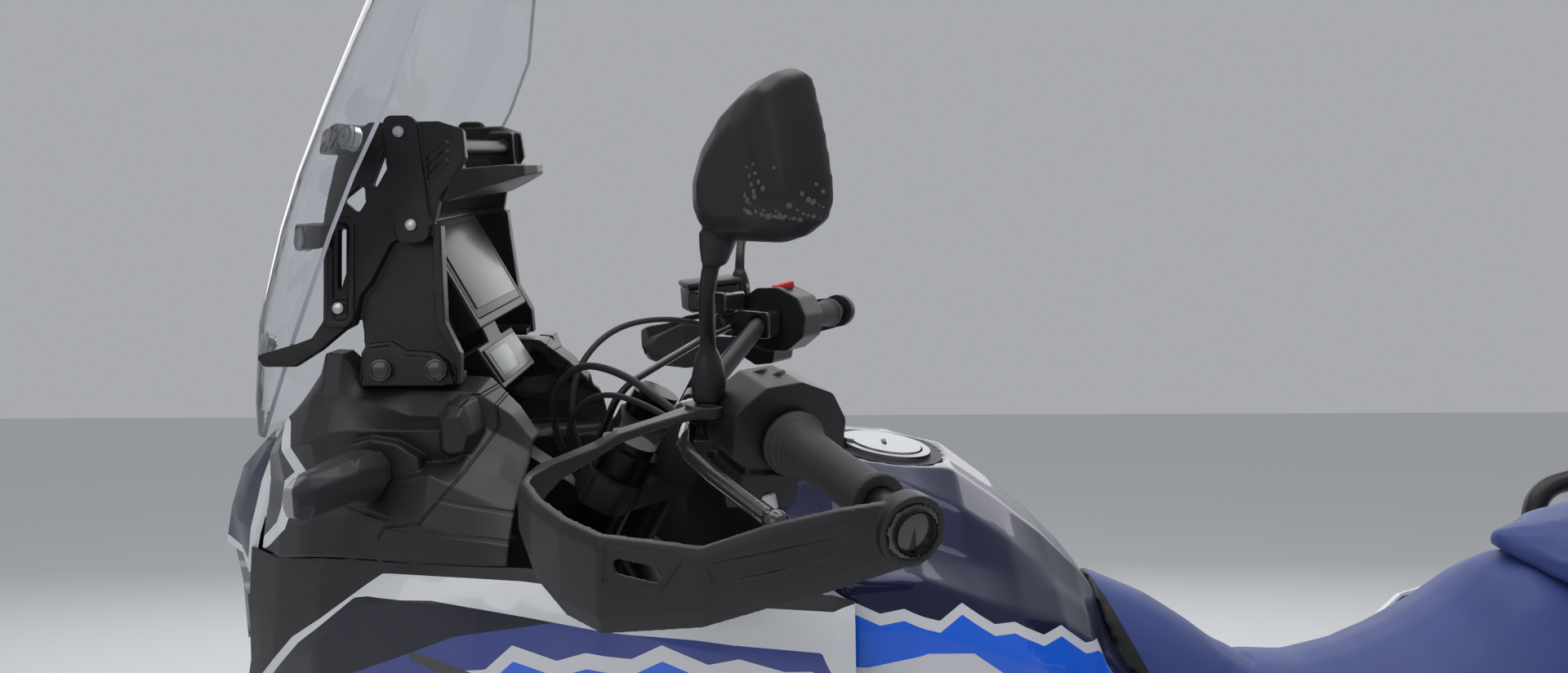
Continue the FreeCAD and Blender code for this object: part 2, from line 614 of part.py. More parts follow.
def drive_chain():
    """One closed loop round the two sprockets, with its links as notches along the edges."""
    def loop(grow, y0, y1):
        front = Vector(FRONT_SPROCKET_X, 0, FRONT_SPROCKET_Z)
        rear = Vector(REAR_AXLE_X, 0, REAR_TYRE_RADIUS)
        r1, r2 = FRONT_SPROCKET_RADIUS + grow, REAR_SPROCKET_RADIUS + grow
        gap = front - rear
        distance = gap.Length
        tilt = math.atan2(gap.z, gap.x)
        open_angle = math.acos((REAR_SPROCKET_RADIUS - FRONT_SPROCKET_RADIUS) / distance)

        def on(centre, r, angle):
            return Vector(centre.x + r * math.cos(angle), y0, centre.z + r * math.sin(angle))

        up, down = tilt + open_angle, tilt - open_angle
        edges = [Part.LineSegment(on(rear, r2, up), on(front, r1, up)).toShape(),
                 Part.Arc(on(front, r1, up), on(front, r1, tilt), on(front, r1, down)).toShape(),
                 Part.LineSegment(on(front, r1, down), on(rear, r2, down)).toShape(),
                 Part.Arc(on(rear, r2, down), on(rear, r2, tilt + math.pi), on(rear, r2, up)).toShape()]
        return Part.Face(Part.Wire(edges)).extrude(Vector(0, y1 - y0, 0))

    half = CHAIN_WIDTH / 2
    plates = loop(CHAIN_HEIGHT / 2, CHAIN_Y - half, CHAIN_Y + half).cut(
        loop(-CHAIN_HEIGHT / 2, CHAIN_Y - half - 1, CHAIN_Y + half + 1))
    groove = loop(CHAIN_HEIGHT / 2 + 1, CHAIN_Y - 4, CHAIN_Y + 4).cut(
        loop(CHAIN_HEIGHT / 2 - 4, CHAIN_Y - 5, CHAIN_Y + 5))
    return plates.cut(groove)


def exhaust():
    """Two header pipes, the box that they join under the gearbox and the link to the silencer."""
    headers = []
    for y in (45, -45):
        headers.append(tube([Vector(224, y, 700), Vector(262, y, 694), Vector(276, y, 560),
                             Vector(266, y * 0.9, 330),
                             Vector(190, y * 0.7, 270), Vector(20, y * 0.7, 270)], 18, 55))
    box = prism("xz", [(30, 286), (30, 254), (-100, 254), (-125, 270), (-100, 288)], -62, 62, 8)
    link = tube([Vector(-95, -40, 271), Vector(-190, -70, 272), Vector(-255, -160, 305),
                 Vector(-296, -190, 400),
                 SILENCER_START], 18, 50)
    return joined(headers + [box, link])


def silencer():
    """The link pipe and the tapered silencer with its end cap."""
    a, b = SILENCER_START, SILENCER_END
    along = (b - a).normalize()
    sections = []
    for share, wide, tall in ((0.0, 34, 34), (0.12, 52, 58), (0.75, 60, 74), (0.95, 56, 68), (1.0, 44, 54)):
        centre = a + (b - a) * share
        across = Vector(0, 1, 0)
        upright = along.cross(across).normalize()
        corner = [centre + across * (u * wide) + upright * (v * tall)
                  for u, v in ((1, 0.45), (0.45, 1), (-0.45, 1), (-1, 0.45), (-1, -0.45), (-0.45, -1),
                               (0.45, -1), (1, -0.45))]
        sections.append(Part.makePolygon(corner + corner[:1]))
    body = loft(sections)
    outlet = rod(b - along * 30, b + along * 1, 22)
    return body.cut(outlet)


# Steering assembly

def yokes():
    """Lower and upper fork clamps on the stem, with the bar's risers."""
    outline = [(-38, 0), (-20, 40), (6, FORK_Y), (18, FORK_Y + 40), (52, FORK_Y + 40), (66, FORK_Y),
               (56, 50), (54, 0),
               (56, -50), (66, -FORK_Y), (52, -FORK_Y - 40), (18, -FORK_Y - 40), (6, -FORK_Y), (-20, -40)]
    lower = prism("xy", outline, HEAD_TUBE_LOW - 4 - YOKE_THICKNESS, HEAD_TUBE_LOW - 4, 10)
    upper = prism("xy", outline, HEAD_TUBE_HIGH + 4, HEAD_TUBE_HIGH + 4 + YOKE_THICKNESS, 10)
    stem = Part.makeCylinder(STEM_RADIUS, HEAD_TUBE_HIGH - HEAD_TUBE_LOW + 8 + 60,
                             Vector(0, 0, HEAD_TUBE_LOW - 30))
    middle = in_head(BAR_MIDDLE)
    riser_low = HEAD_TUBE_HIGH + 4 + YOKE_THICKNESS
    riser = joined([prism("xz", [(middle.x - 24, riser_low - 1), (middle.x + 22, riser_low - 1),
                                 (middle.x + 22, middle.z + 20),
                                 (middle.x - 24, middle.z + 20)], 36, 66, 6)])
    whole = joined([lower, upper, stem, riser, mirrored(riser)])
    for side in (1, -1):
        whole = whole.cut(Part.makeCylinder(FORK_UPPER_RADIUS, 600, Vector(FORK_OFFSET, side * FORK_Y, -300)))
    bar = Part.makeCylinder(BAR_CENTRE_RADIUS, 300, Vector(middle.x, -150, middle.z), Vector(0, 1, 0))
    return to_head(whole.cut(bar))


def fork_legs():
    """Upside-down fork: wide upper tube, thin lower tube and the foot that clamps the axle."""
    x, z = axle_in_head().x, axle_in_head().z
    join = fork_join()
    upper = Part.makeCylinder(FORK_UPPER_RADIUS, FORK_TOP - join, Vector(FORK_OFFSET, FORK_Y, join))
    cap = Part.makeCylinder(FORK_UPPER_RADIUS - 6, 8, Vector(FORK_OFFSET, FORK_Y, FORK_TOP))
    lower = Part.makeCylinder(FORK_LOWER_RADIUS, join - z - 40, Vector(FORK_OFFSET, FORK_Y, z + 41))
    foot = prism("xz", [(FORK_OFFSET - 25, z + 95), (FORK_OFFSET + 27, z + 95), (x + 26, z + 10),
                        (x + 20, z - 26),
                        (x - 22, z - 26), (FORK_OFFSET - 27, z + 30)], FORK_Y - 26, FORK_Y + 24, 8)
    lugs = prism("xz", [(FORK_OFFSET, z + 112), (FORK_OFFSET, z + 20), (-46, z + 4), (-60, z + 40),
                        (-20, z + 108)],
                 FORK_Y - 23, FORK_Y - 9)
    hole = Part.makeCylinder(FRONT_AXLE_RADIUS, 120, Vector(x, FORK_Y - 60, z), Vector(0, 1, 0))
    return to_head(joined([upper, cap, lower, foot, lugs]).cut(hole))


def front_axle():
    return axle(FRONT_AXLE_X, FRONT_AXLE_Z, FRONT_AXLE_RADIUS, FORK_Y + 32)


def bar_axes():
    """The left bar end's own axes: its start, and along, forward and up directions."""
    along = (BAR_TIP - BAR_RISE_TOP).normalize()
    forward = Vector(1, 0, 0) - along * along.x
    forward.normalize()
    up = forward.cross(along).normalize()
    if up.z < 0:
        up = up * -1
    return BAR_RISE_TOP, along, forward, up


def on_bar(along_by, forward_by=0.0, up_by=0.0):
    start, along, forward, up = bar_axes()
    return start + along * along_by + forward * forward_by + up * up_by


def handlebar():
    left = [BAR_MIDDLE, BAR_CLAMP_END, BAR_RISE_TOP, BAR_TIP]
    right = [Vector(p.x, -p.y, p.z) for p in left]
    thin = tube(list(reversed(right[1:])) + left[1:], BAR_RADIUS, BAR_BEND)
    thick = rod(Vector(BAR_MIDDLE.x, -72, BAR_MIDDLE.z), Vector(BAR_MIDDLE.x, 72, BAR_MIDDLE.z),
                BAR_CENTRE_RADIUS)
    return joined([thin, thick])


def grips():
    """Rubber grips with a wide inner flange and a slight swell."""
    start, along, forward, up = bar_axes()
    profile = [(0, BAR_RADIUS), (0, 25), (5, 25), (12, 21), (22, GRIP_RADIUS + 1.5), (70, GRIP_RADIUS),
               (GRIP_LENGTH - 12, GRIP_RADIUS + 0.6), (GRIP_LENGTH - 6, GRIP_RADIUS + 3), (GRIP_LENGTH,
                       GRIP_RADIUS + 3),
               (GRIP_LENGTH, BAR_RADIUS)]
    points = [on_bar(GRIP_START + s, 0, r) for s, r in profile]
    face = Part.Face(Part.makePolygon(points + points[:1]))
    return pair(face.revolve(start, along, 360))


def block_on_bar(outline, near, far, radius):
    """A housing round the bar: its outline is (forward, up) of the bar, between two distances along it."""
    points = [on_bar(near, f, u) for f, u in outline]
    start, along, forward, up = bar_axes()
    return Part.Face(rounded_wire(points, radius)).extrude(along * (far - near))


def switchgear():
    """The switch housings inboard of the grips, with the horn's block below."""
    outline = [(-44, -16), (-47, 10), (-36, 32), (-10, 44), (18, 43), (44, 26), (46, -8), (26, -26),
               (8, -34), (-22, -34)]
    main = block_on_bar(outline, 34, 90, 8)
    lower = block_on_bar([(40, -18), (46, -40), (22, -53), (-2, -50), (-6, -26)], 36, 94, 5)
    bore = rod(on_bar(20), on_bar(100), BAR_RADIUS)
    return pair(joined([main, lower]).cut(bore))


def levers():
    """Clutch and brake levers on their perches, the right one with its fluid reservoir."""
    perch = block_on_bar([(-16, -16), (-16, 16), (20, 18), (58, 12), (58, -12), (20, -16)], -2, 30, 5)
    lever_points = [on_bar(12, 50, 0), on_bar(60, 74, -4), on_bar(120, 72, -6), on_bar(212, 66, -6)]
    lever = tube(lever_points, 6.5, 60)
    end = Part.makeSphere(9, lever_points[-1])
    bore = rod(on_bar(-20), on_bar(100), BAR_RADIUS)
    left = joined([perch, lever, end]).cut(bore)
    reservoir = mirrored(block_on_bar([(30, 14), (30, 40), (82, 42), (82, 16)], -26, 26, 5))
    right = joined([mirrored(left), reservoir])
    return Part.makeCompound([left, right])


MIRROR_HEAD = Vector(-70, 374, 247)    # from the middle of the handlebar
MIRROR_TURN = 37.0


def mirrors():
    """Stem in its rubber boot, with the mirror's deep pointed shell on its end."""
    boot = loft([Part.Wire(Part.makeCircle(radius, Vector(-27, 279, z))) for z, radius in
                 ((65, 12), (99, 10.6), (106, 8))], False)
    stem = tube([Vector(-27, 279, 71), Vector(-27, 281, 117), Vector(-29, 318, 153), Vector(-36, 338, 187)],
                6.5, 30)
    neck = loft([Part.Wire(Part.makeCircle(radius, Vector(x, y, z))) for x, y, z, radius in
                 ((-36, 338, 176, 9), (-41, 342, 201, 15))], False)
    rim = [(33, 58), (46, 54), (56, 28), (64, 0), (68, -22), (62, -36), (44, -46), (24, -51), (-28, -53),
           (-50, -48),
           (-60, -34), (-60, -14), (-46, 12), (-18, 38), (8, 52)]
    turn = math.radians(MIRROR_TURN)
    sections = []
    for depth, share in ((-9, 0.95), (0, 1.0), (12, 0.95), (24, 0.8), (32, 0.52)):
        points = []
        for u, v in rim:
            side, high = 8 + (u - 8) * share, (v + 12) * share - 12
            points.append(MIRROR_HEAD + Vector(depth * math.cos(turn) - side * math.sin(turn),
                                               depth * math.sin(turn) + side * math.cos(turn), high))
        sections.append(Part.makePolygon(points + points[:1]))
    return pair(with_bars(joined([boot, stem, neck, loft(sections)])))


def guard_cut(corners, depth, near, far):
    """A recess in the guard's blade: its floor lies so deep under the line between two places in plan."""
    slope = (far[1] - near[1]) / (far[0] - near[0])
    floor = [Vector(x, near[1] + slope * (x - near[0]) - depth, z) for x, z in corners]
    return Part.Face(rounded_wire(floor, 3)).extrude(Vector(0, 40, 0))


def handguards():
    """Wrap-round guards: a boss on the bar's end, the deep blade and the arm back to the mirror's foot."""
    stations = [
        # x, y of the outer face, top z, bottom z, from the middle of the handlebar
        (-163, 464, 49, 7),
        (-117, 470.5, 44, -6),
        (-75, 469.5, 34, -18),
        (-33, 466, 19, -32),
        (33, 443, 19, -46),
        (61, 418, 21, -44),
        (87, 384, 24, -34),
        (103, 352, 26, -19),
        (105, 330, 25, -8),
    ]
    wires = []
    for i, (x, y, top, bottom) in enumerate(stations):
        before, after = stations[max(i - 1, 0)], stations[min(i + 1, len(stations) - 1)]
        along = Vector(after[0] - before[0], after[1] - before[1], 0).normalize()
        inward = Vector(along.y, -along.x, 0)
        outer = [Vector(x, y, top) + inward * 2.5, Vector(x, y, top - 7), Vector(x, y, bottom + 12),
                 Vector(x, y, bottom) + inward * 4]
        inner = [Vector(x, y, bottom) + inward * 8.5, Vector(x, y, bottom + 12) + inward * 5,
                 Vector(x, y, top - 7) + inward * 5.5, Vector(x, y, top) + inward * 9.5]
        wires.append(Part.makePolygon(outer + inner + outer[:1]))
    near, far = stations[3], stations[4]
    blade = loft(wires)
    blade = blade.cut(guard_cut([(27, 15), (-25, 13), (-8, -12), (30, -11)], 2.4, near, far))
    blade = blade.cut(guard_cut([(22, 6), (-9, 3), (-9, -7), (21, -4)], 30, near, far))
    blade = blade.cut(guard_cut([(-37, 10), (-131, 32), (-133, 20), (-41, -3)], 1.8, stations[1], near))
    blade = blade.cut(prism("yz", [(339, 15), (331, 9), (331, -5), (342, -1)], 100, 127, 2))
    arm = loft([Part.makePolygon([Vector(*p) for p in ring + ring[:1]]) for ring in (
        [(105, 331, 24), (105, 331, -1), (96, 329, -1), (96, 329, 24)],
        [(97, 316, 29), (93, 314, 15), (79, 318, 17), (83, 320, 31)],
        [(59, 292, 40), (57, 292, 33), (51, 308, 33), (53, 308, 40)],
        [(43, 286, 48), (41, 286, 41), (37, 303, 41), (39, 303, 48)],
        [(17, 276, 54), (17, 276, 47), (17, 297, 47), (17, 297, 54)],
        [(-21, 262, 65), (-21, 262, 58), (-21, 296, 58), (-21, 296, 65)])])
    foot = Part.makeCylinder(18, 9.2, Vector(-27, 279, 57))
    start, along, forward, up = bar_axes()
    end = Vector(-155.7, 451.3, 29.9)
    boss = rod(end, end + along * 14, 22.7)
    boss = boss.cut(rod(end + along * 10.5, end + along * 20, 18.5))
    plug = rod(end + along * 9, end + along * 13, 16.5)
    corners = [end + along * 7 + forward * (4.6 * math.cos(i * math.pi / 3))
               + up * (4.6 * math.sin(i * math.pi / 3))
               for i in range(6)]
    socket = Part.Face(Part.makePolygon(corners + corners[:1])).extrude(along * 20)
    return pair(with_bars(joined([blade, arm, foot, joined([boss, plug]).cut(socket)])))


def front_fender():
    """The low mudguard round the top of the tyre, with its stays to the fork's lower tubes."""
    z, x = FRONT_AXLE_Z, FRONT_AXLE_X
    inner = FRONT_TYRE_RADIUS + 16
    half = [(inner, 0), (inner - 4, 34), (inner - 28, 62), (inner - 50, 68), (inner - 50, 71),
            (inner - 26, 66),
            (inner, 37), (inner + 4, 0)]
    outline = half + [(r, -y) for r, y in reversed(half[1:-1])]
    shell = spin(outline, x, z, 118)
    shell.rotate(Vector(x, 0, z), Vector(0, 1, 0), -72)
    high = fork_join() - 4
    stay = to_head(prism("xz", [(6, high), (62, high), (62, high - 46), (6, high - 46)], 66, 86, 8))
    leg = to_head(Part.makeCylinder(FORK_LOWER_RADIUS, 600, Vector(FORK_OFFSET, FORK_Y, high - 60)))
    stay = stay.cut(leg).cut(shell)
    tyre_room = spin([(0, -90), (inner - 1, -90), (inner - 1, 67), (0, 67)], x, z)
    stay = stay.cut(tyre_room)
    return joined([shell, stay, mirrored(stay)])


def front_calipers():
    """Four-piston calipers astride the discs, behind the fork feet."""
    z, x = FRONT_AXLE_Z, FRONT_AXLE_X
    turn = 82.0
    reach = FRONT_DISC_RADIUS - 23
    body = prism("xz", [(-38, -50), (22, -50), (27, -20), (27, 26), (18, 50), (-36, 50)],
                 FRONT_DISC_Y - 26, FRONT_DISC_Y + 26, 10)
    body.rotate(Vector(0, 0, 0), Vector(0, 1, 0), 90 - turn)
    body.translate(Vector(x - reach * math.sin(math.radians(turn)), 0,
                          z + reach * math.cos(math.radians(turn))))
    gap = DISC_THICKNESS / 2 + RUNNING_GAP / 2
    slot = spin([(60, FRONT_DISC_Y - gap), (FRONT_DISC_RADIUS + 5, FRONT_DISC_Y - gap),
                 (FRONT_DISC_RADIUS + 5, FRONT_DISC_Y + gap), (60, FRONT_DISC_Y + gap)], x, z)
    return body.cut(slot)


def front_hoses():
    """Brake hose from the right lever down beside the fork leg to its caliper."""
    y = -(FORK_Y + 23)
    points = [on_bar(-8, 34, -2), on_bar(-34, 54, -14)]
    points = [Vector(p.x, -p.y, p.z) for p in points]
    points += [head_point(76, y - 9, 178), head_point(67, y, 60), head_point(67, y, -120),
               head_point(62, y - 4, -330),
               head_point(44, y - 23, -520), head_point(-20, y - 9, -585), head_point(-48, y + 35, -610)]
    return tube(points, 4.5, 60)


def rear_caliper():
    """Single-piston caliper over the rear disc, on the swingarm's inner face."""
    reach = REAR_DISC_RADIUS
    outline = [(48, 0.3 * reach), (28, 0.67 * reach), (53, 0.92 * reach), (98, 0.83 * reach),
               (116, 0.52 * reach),
               (112, 0.31 * reach)]
    outline = [(REAR_AXLE_X + x, REAR_AXLE_Z + z) for x, z in outline]
    body = prism("xz", outline, -(SWING_INNER_Y - SEAT_GAP), 22 - REAR_DISC_Y, 9)
    gap = DISC_THICKNESS / 2 + RUNNING_GAP / 2
    slot = spin([(60, -REAR_DISC_Y - gap), (REAR_DISC_RADIUS + 6, -REAR_DISC_Y - gap),
                 (REAR_DISC_RADIUS + 6, gap - REAR_DISC_Y), (60,
                         gap - REAR_DISC_Y)], REAR_AXLE_X, REAR_AXLE_Z)
    return body.cut(slot)


def rear_hugger():
    """The inner mudguard ahead of the rear tyre, on a tongue from the swingarm's cross box."""
    z, x = REAR_AXLE_Z, REAR_AXLE_X
    inner = REAR_TYRE_RADIUS + 14
    half = [(inner, 0), (inner - 6, 50), (inner - 34, 82), (inner - 34, 85), (inner - 3, 53), (inner + 3, 0)]
    outline = half + [(r, -y) for r, y in reversed(half[1:-1])]
    shell = spin(outline, x, z, 62)
    shell.rotate(Vector(x, 0, z), Vector(0, 1, 0), 32)
    tongue = prism("xz", [(SWING_PIVOT_X - 130 - SEAT_GAP, SWING_PIVOT_Z + 12),
                          (SWING_PIVOT_X - 130 - SEAT_GAP, SWING_PIVOT_Z + 6),
                          (x + inner - 10, z + 66), (x + inner - 10, z + 72)], -42, 42)
    tongue = tongue.cut(spin([(0, -60), (inner + 1, -60), (inner + 1, 60), (0, 60)], x, z))
    return joined([shell, tongue])


def foot_controls():
    """Footpegs on their hangers, the gear lever on the left and the brake pedal on the right."""
    hanger = loft([Part.makePolygon([Vector(x, 90, z) for x, z in ((-185, 322), (-135, 322), (-135, 356),
            (-185, 356), (-185, 322))]),
                   Part.makePolygon([Vector(x, 204, z) for x,
                                     z in ((-160, 336), (-128, 336), (-128, 356), (-160, 356),
                                           (-160, 336))])])
    peg = Part.makeBox(46, 92, 16, Vector(-166, 202, 346))
    for i in range(7):
        peg = peg.cut(Part.makeBox(40, 6, 8, Vector(-163, 210 + 12 * i, 356)))
    return joined([hanger, peg])


def gear_lever():
    shaft = rod(Vector(40, 86, 318), Vector(40, 176, 318), 8)
    arm = tube([Vector(-60, 168, 330), Vector(10, 168, 322), Vector(60, 170, 330), Vector(78, 172, 340)], 6,
               30)
    toe = rod(Vector(76, 166, 339), Vector(76, 212, 339), 8)
    return joined([shaft, arm, toe])


def brake_pedal():
    shaft = rod(Vector(-124, -150, 336), Vector(-124, -186, 336), 9)
    arm = tube([Vector(-124, -178, 336), Vector(-40, -184, 312), Vector(20, -196, 322),
                Vector(62, -204, 336)], 6, 30)
    toe = Part.makeBox(40, 30, 8, Vector(50, -220, 336))
    return joined([shaft, arm, toe])


def side_stand():
    """The stand's leg, with its pivot boss and its foot flat on the ground."""
    axis = stand_axis()
    lean = math.radians(LEAN)
    normal = Vector(0, -math.sin(lean), math.cos(lean))
    lift = REAR_TYRE_WIDTH / 2 * LEAN_SHARE
    # The foot stands where the leaned ground is under its named place
    foot_z = (STAND_FOOT.y * math.sin(lean) - lift) / math.cos(lean)
    foot = Vector(STAND_FOOT.x, STAND_FOOT.y, foot_z)
    boss = rod(STAND_PIVOT + axis * SEAT_GAP, STAND_PIVOT + axis * STAND_BOSS, 17)
    middle = STAND_PIVOT + axis * (STAND_BOSS / 2)
    leg = rod(middle, foot + normal * 9, STAND_LEG_RADIUS)
    pad = Part.makeCylinder(30, 8, foot, normal)
    arm = tube([middle + (foot - middle) * 0.55, middle + (foot - middle) * 0.6 + Vector(24, 12, 6),
                middle + (foot - middle) * 0.6 + Vector(44, 26, 4)], 5, 12)
    bolt = rod(STAND_PIVOT - axis * 20, STAND_PIVOT + axis * 60, 6 + BEARING_GAP)
    room = rod(STAND_PIVOT + axis * (STAND_BOSS + 0.2), STAND_PIVOT + axis * 60, 17)
    return joined([boss, leg, pad, arm]).cut(bolt).cut(room)


# Bodywork

def fuel_tank():
    """The broad tank: flat top, creased flanks with a hollow band, shoulders and a tunnel over the frame."""
    stations = [
        # x, top z, then y, z of the top's edge, the hollow's edges, the side panel's edge, the side and the
        # foot
        (236, 1047, (46, 1046), (70, 1040), (104, 1022), (150, 1002), (170, 960), (176, 858)),
        (180, 1068, (60, 1067), (96, 1060), (142, 1026), (206, 1000), (222, 960), (224, 842)),
        (116, 1059, (64, 1059), (106, 1053), (148, 1013), (214, 1004), (230, 965), (228, 822)),
        (66, 1049, (50, 1052), (112, 1031), (150, 996), (203, 981), (219, 943), (213, 816)),
        (20, 1017, (45, 1019), (108, 999), (141, 978), (180, 958), (197, 918), (200, 810)),
        (-25, 982, (42, 983), (94, 959), (114, 952), (146, 935), (160, 898), (160, 806)),
        (-60, 948, (38, 948), (74, 928), (92, 921), (112, 903), (127, 868), (136, 804)),
        (-78, 926, (34, 926), (58, 906), (75, 894), (94, 880), (110, 848), (130, 802)),
        (-110, 872, (28, 870), (46, 862), (68, 856), (88, 846), (106, 822), (124, 798)),
        (-138, 830, (26, 829), (44, 826), (64, 822), (84, 816), (102, 802), (118, 792)),
    ]
    wires = []
    for x, top, *half in stations:
        points = [(0, top)] + half + [(-y, z) for y, z in reversed(half)]
        wires.append(Part.makePolygon([Vector(x, y, z) for y, z in points + points[:1]]))
    body = loft(wires)
    tunnel = prism("yz", [(-99, 700), (-99, 846), (-70, 868), (70, 868), (99, 846), (99, 700)], -100, 330)
    neck = on_cap(Part.makeCylinder(CAP_NECK_RADIUS, 90, Vector(0, 0, -58)))
    seat = on_cap(Part.makeCylinder(CAP_RING_RADIUS + BEARING_GAP, 40, Vector(0, 0, -5)))
    return body.cut(tunnel).cut(neck).cut(seat)


def on_cap(shape):
    """Moves a piece drawn at the filler's own axes to its place on the tank."""
    moved = shape.copy()
    moved.rotate(Vector(0, 0, 0), Vector(0, 1, 0), -CAP_TILT)
    moved.translate(Vector(CAP_X, 0, CAP_Z))
    return moved


def filler_ring():
    """The filler's ring in its seat, its bright collar and the two ears of the cap's hinge."""
    ring = Part.makeCylinder(CAP_RING_RADIUS, 8, Vector(0, 0, -5))
    collar = Part.makeCylinder(CAP_COLLAR_RADIUS, 5, Vector(0, 0, 2.5)).cut(Part.makeCylinder(CAP_RADIUS + 1,
            9))
    collar = collar.cut(Part.makeBox(40, 29, 9, Vector(20, -14.5, 0)))
    ears = Part.makeBox(12, 10, 11, Vector(CAP_HINGE_X - 6, -24, 2))
    other = Part.makeBox(12, 10, 11, Vector(CAP_HINGE_X - 6, 14, 2))
    ring = joined([ring, collar, ears, other]).cut(Part.makeCylinder(CAP_NECK_RADIUS, 60, Vector(0, 0, -30)))
    pin = Part.makeCylinder(2.5, 48, Vector(CAP_HINGE_X, -24, CAP_HINGE_Z), Vector(0, 1, 0))
    return on_cap(joined([ring, pin]))


def fuel_cap():
    """The locking cap: a domed lid with its hinge barrel and the plug in the neck."""
    low = 3 + SEAT_GAP
    lid = Part.makeCone(CAP_RADIUS, CAP_RADIUS - 1, 5.5, Vector(0, 0, low))
    plug = Part.makeCylinder(CAP_NECK_RADIUS - 6, 16, Vector(0, 0, low - 15))
    tongue = Part.makeBox(CAP_HINGE_X - 34, 26, 6, Vector(34, -13, low + 1))
    barrel = Part.makeCylinder(5, 26, Vector(CAP_HINGE_X, -13, CAP_HINGE_Z), Vector(0, 1, 0))
    hole = Part.makeCylinder(2.5 + BEARING_GAP, 60, Vector(CAP_HINGE_X, -30, CAP_HINGE_Z), Vector(0, 1, 0))
    return on_cap(joined([lid, plug, tongue, barrel]).cut(hole))


def seat_form(stations):
    """A cushion through half sections, from its crown and over its shoulder to its foot."""
    wires = []
    for x, top, low, *half in stations:
        points = [(0, top)] + half + [(0, low)] + [(-y, z) for y, z in reversed(half)]
        wires.append(Part.makePolygon([Vector(x, y, z) for y, z in points + points[:1]]))
    return loft(wires)


def rider_seat():
    return seat_form([
        # x, top z, lower z, then y, z down to the foot
        (-81, 930, 815, (26, 926), (46, 912), (62, 888), (88, 815)),
        (-150, 896, 796, (30, 891), (56, 876), (78, 850), (102, 796)),
        (-221, 841, 764, (30, 837), (62, 824), (90, 800), (112, 764)),
        (-260, 820, 752, (32, 817), (64, 807), (94, 788), (116, 752)),
        (-324, 816, 746, (34, 813), (68, 803), (100, 782), (126, 746)),
        (-376, 832, 754, (36, 828), (70, 816), (104, 794), (134, 756)),
        (-422, 855, 772, (36, 850), (70, 836), (104, 812), (137, 772)),
        (-462, 887, 790, (34, 881), (68, 864), (104, 834), (138, 796)),
        (-495, 926, 804, (30, 919), (62, 897), (98, 858), (135, 812)),
        (-520, 941, 812, (28, 934), (60, 911), (96, 870), (132, 824)),
        (-600, 941, 846, (28, 934), (60, 911), (96, 876), (124, 848)),
    ])


def pillion_seat():
    """The raised pad behind, pointed in front where it overhangs the rider's seat."""
    pad = seat_form([
        (-500, 968, 952, (4, 967), (7, 964), (8, 958), (7, 951)),
        (-540, 971, 945, (26, 967), (42, 958), (50, 945), (46, 931)),
        (-583, 978, 936, (50, 971), (78, 959), (96, 940), (90, 918)),
        (-640, 986, 900, (62, 978), (98, 965), (122, 940), (112, 900)),
        (-740, 986, 912, (58, 980), (88, 967), (108, 942), (98, 912)),
    ])
    return pad.cut(rider_seat())


def cockpit_frame():
    """The stay from the steering head that carries the nose and the lamp, and the towers' posts."""
    arm = to_head(prism("xz", [(26, 20), (26, 100), (180, 122), (196, 122), (196, 40), (170, 40)], -16, 16,
                        6))
    beam = to_head(prism("xz", [(176, 46), (186, 46), (186, 74), (176, 74)], -231.5, 231.5))
    top = TOWER_LOW - SEAT_GAP
    posts = prism("yz", [(122, 130), (138, 130), (138, top), (122, top)], 114, 138)
    lamp_arm = prism("xz", [(128, 110), (128, 140), (244, 100), (244, 40), (218, 40), (214, 85)], 30, 44)
    stay = joined([arm, beam, cockpit(lamp_arm), cockpit(mirrored(lamp_arm))])
    return stay, cockpit(posts)


def on_tower(shape):
    """Moves a piece drawn flat, from the place where the tower turns outwards, into the left tower."""
    moved = shape.copy()
    moved.rotate(Vector(0, 0, 0), Vector(1, 0, 0), TOWER_SPLAY)
    moved.translate(Vector(0, TOWER_Y, TOWER_TURN))
    return moved


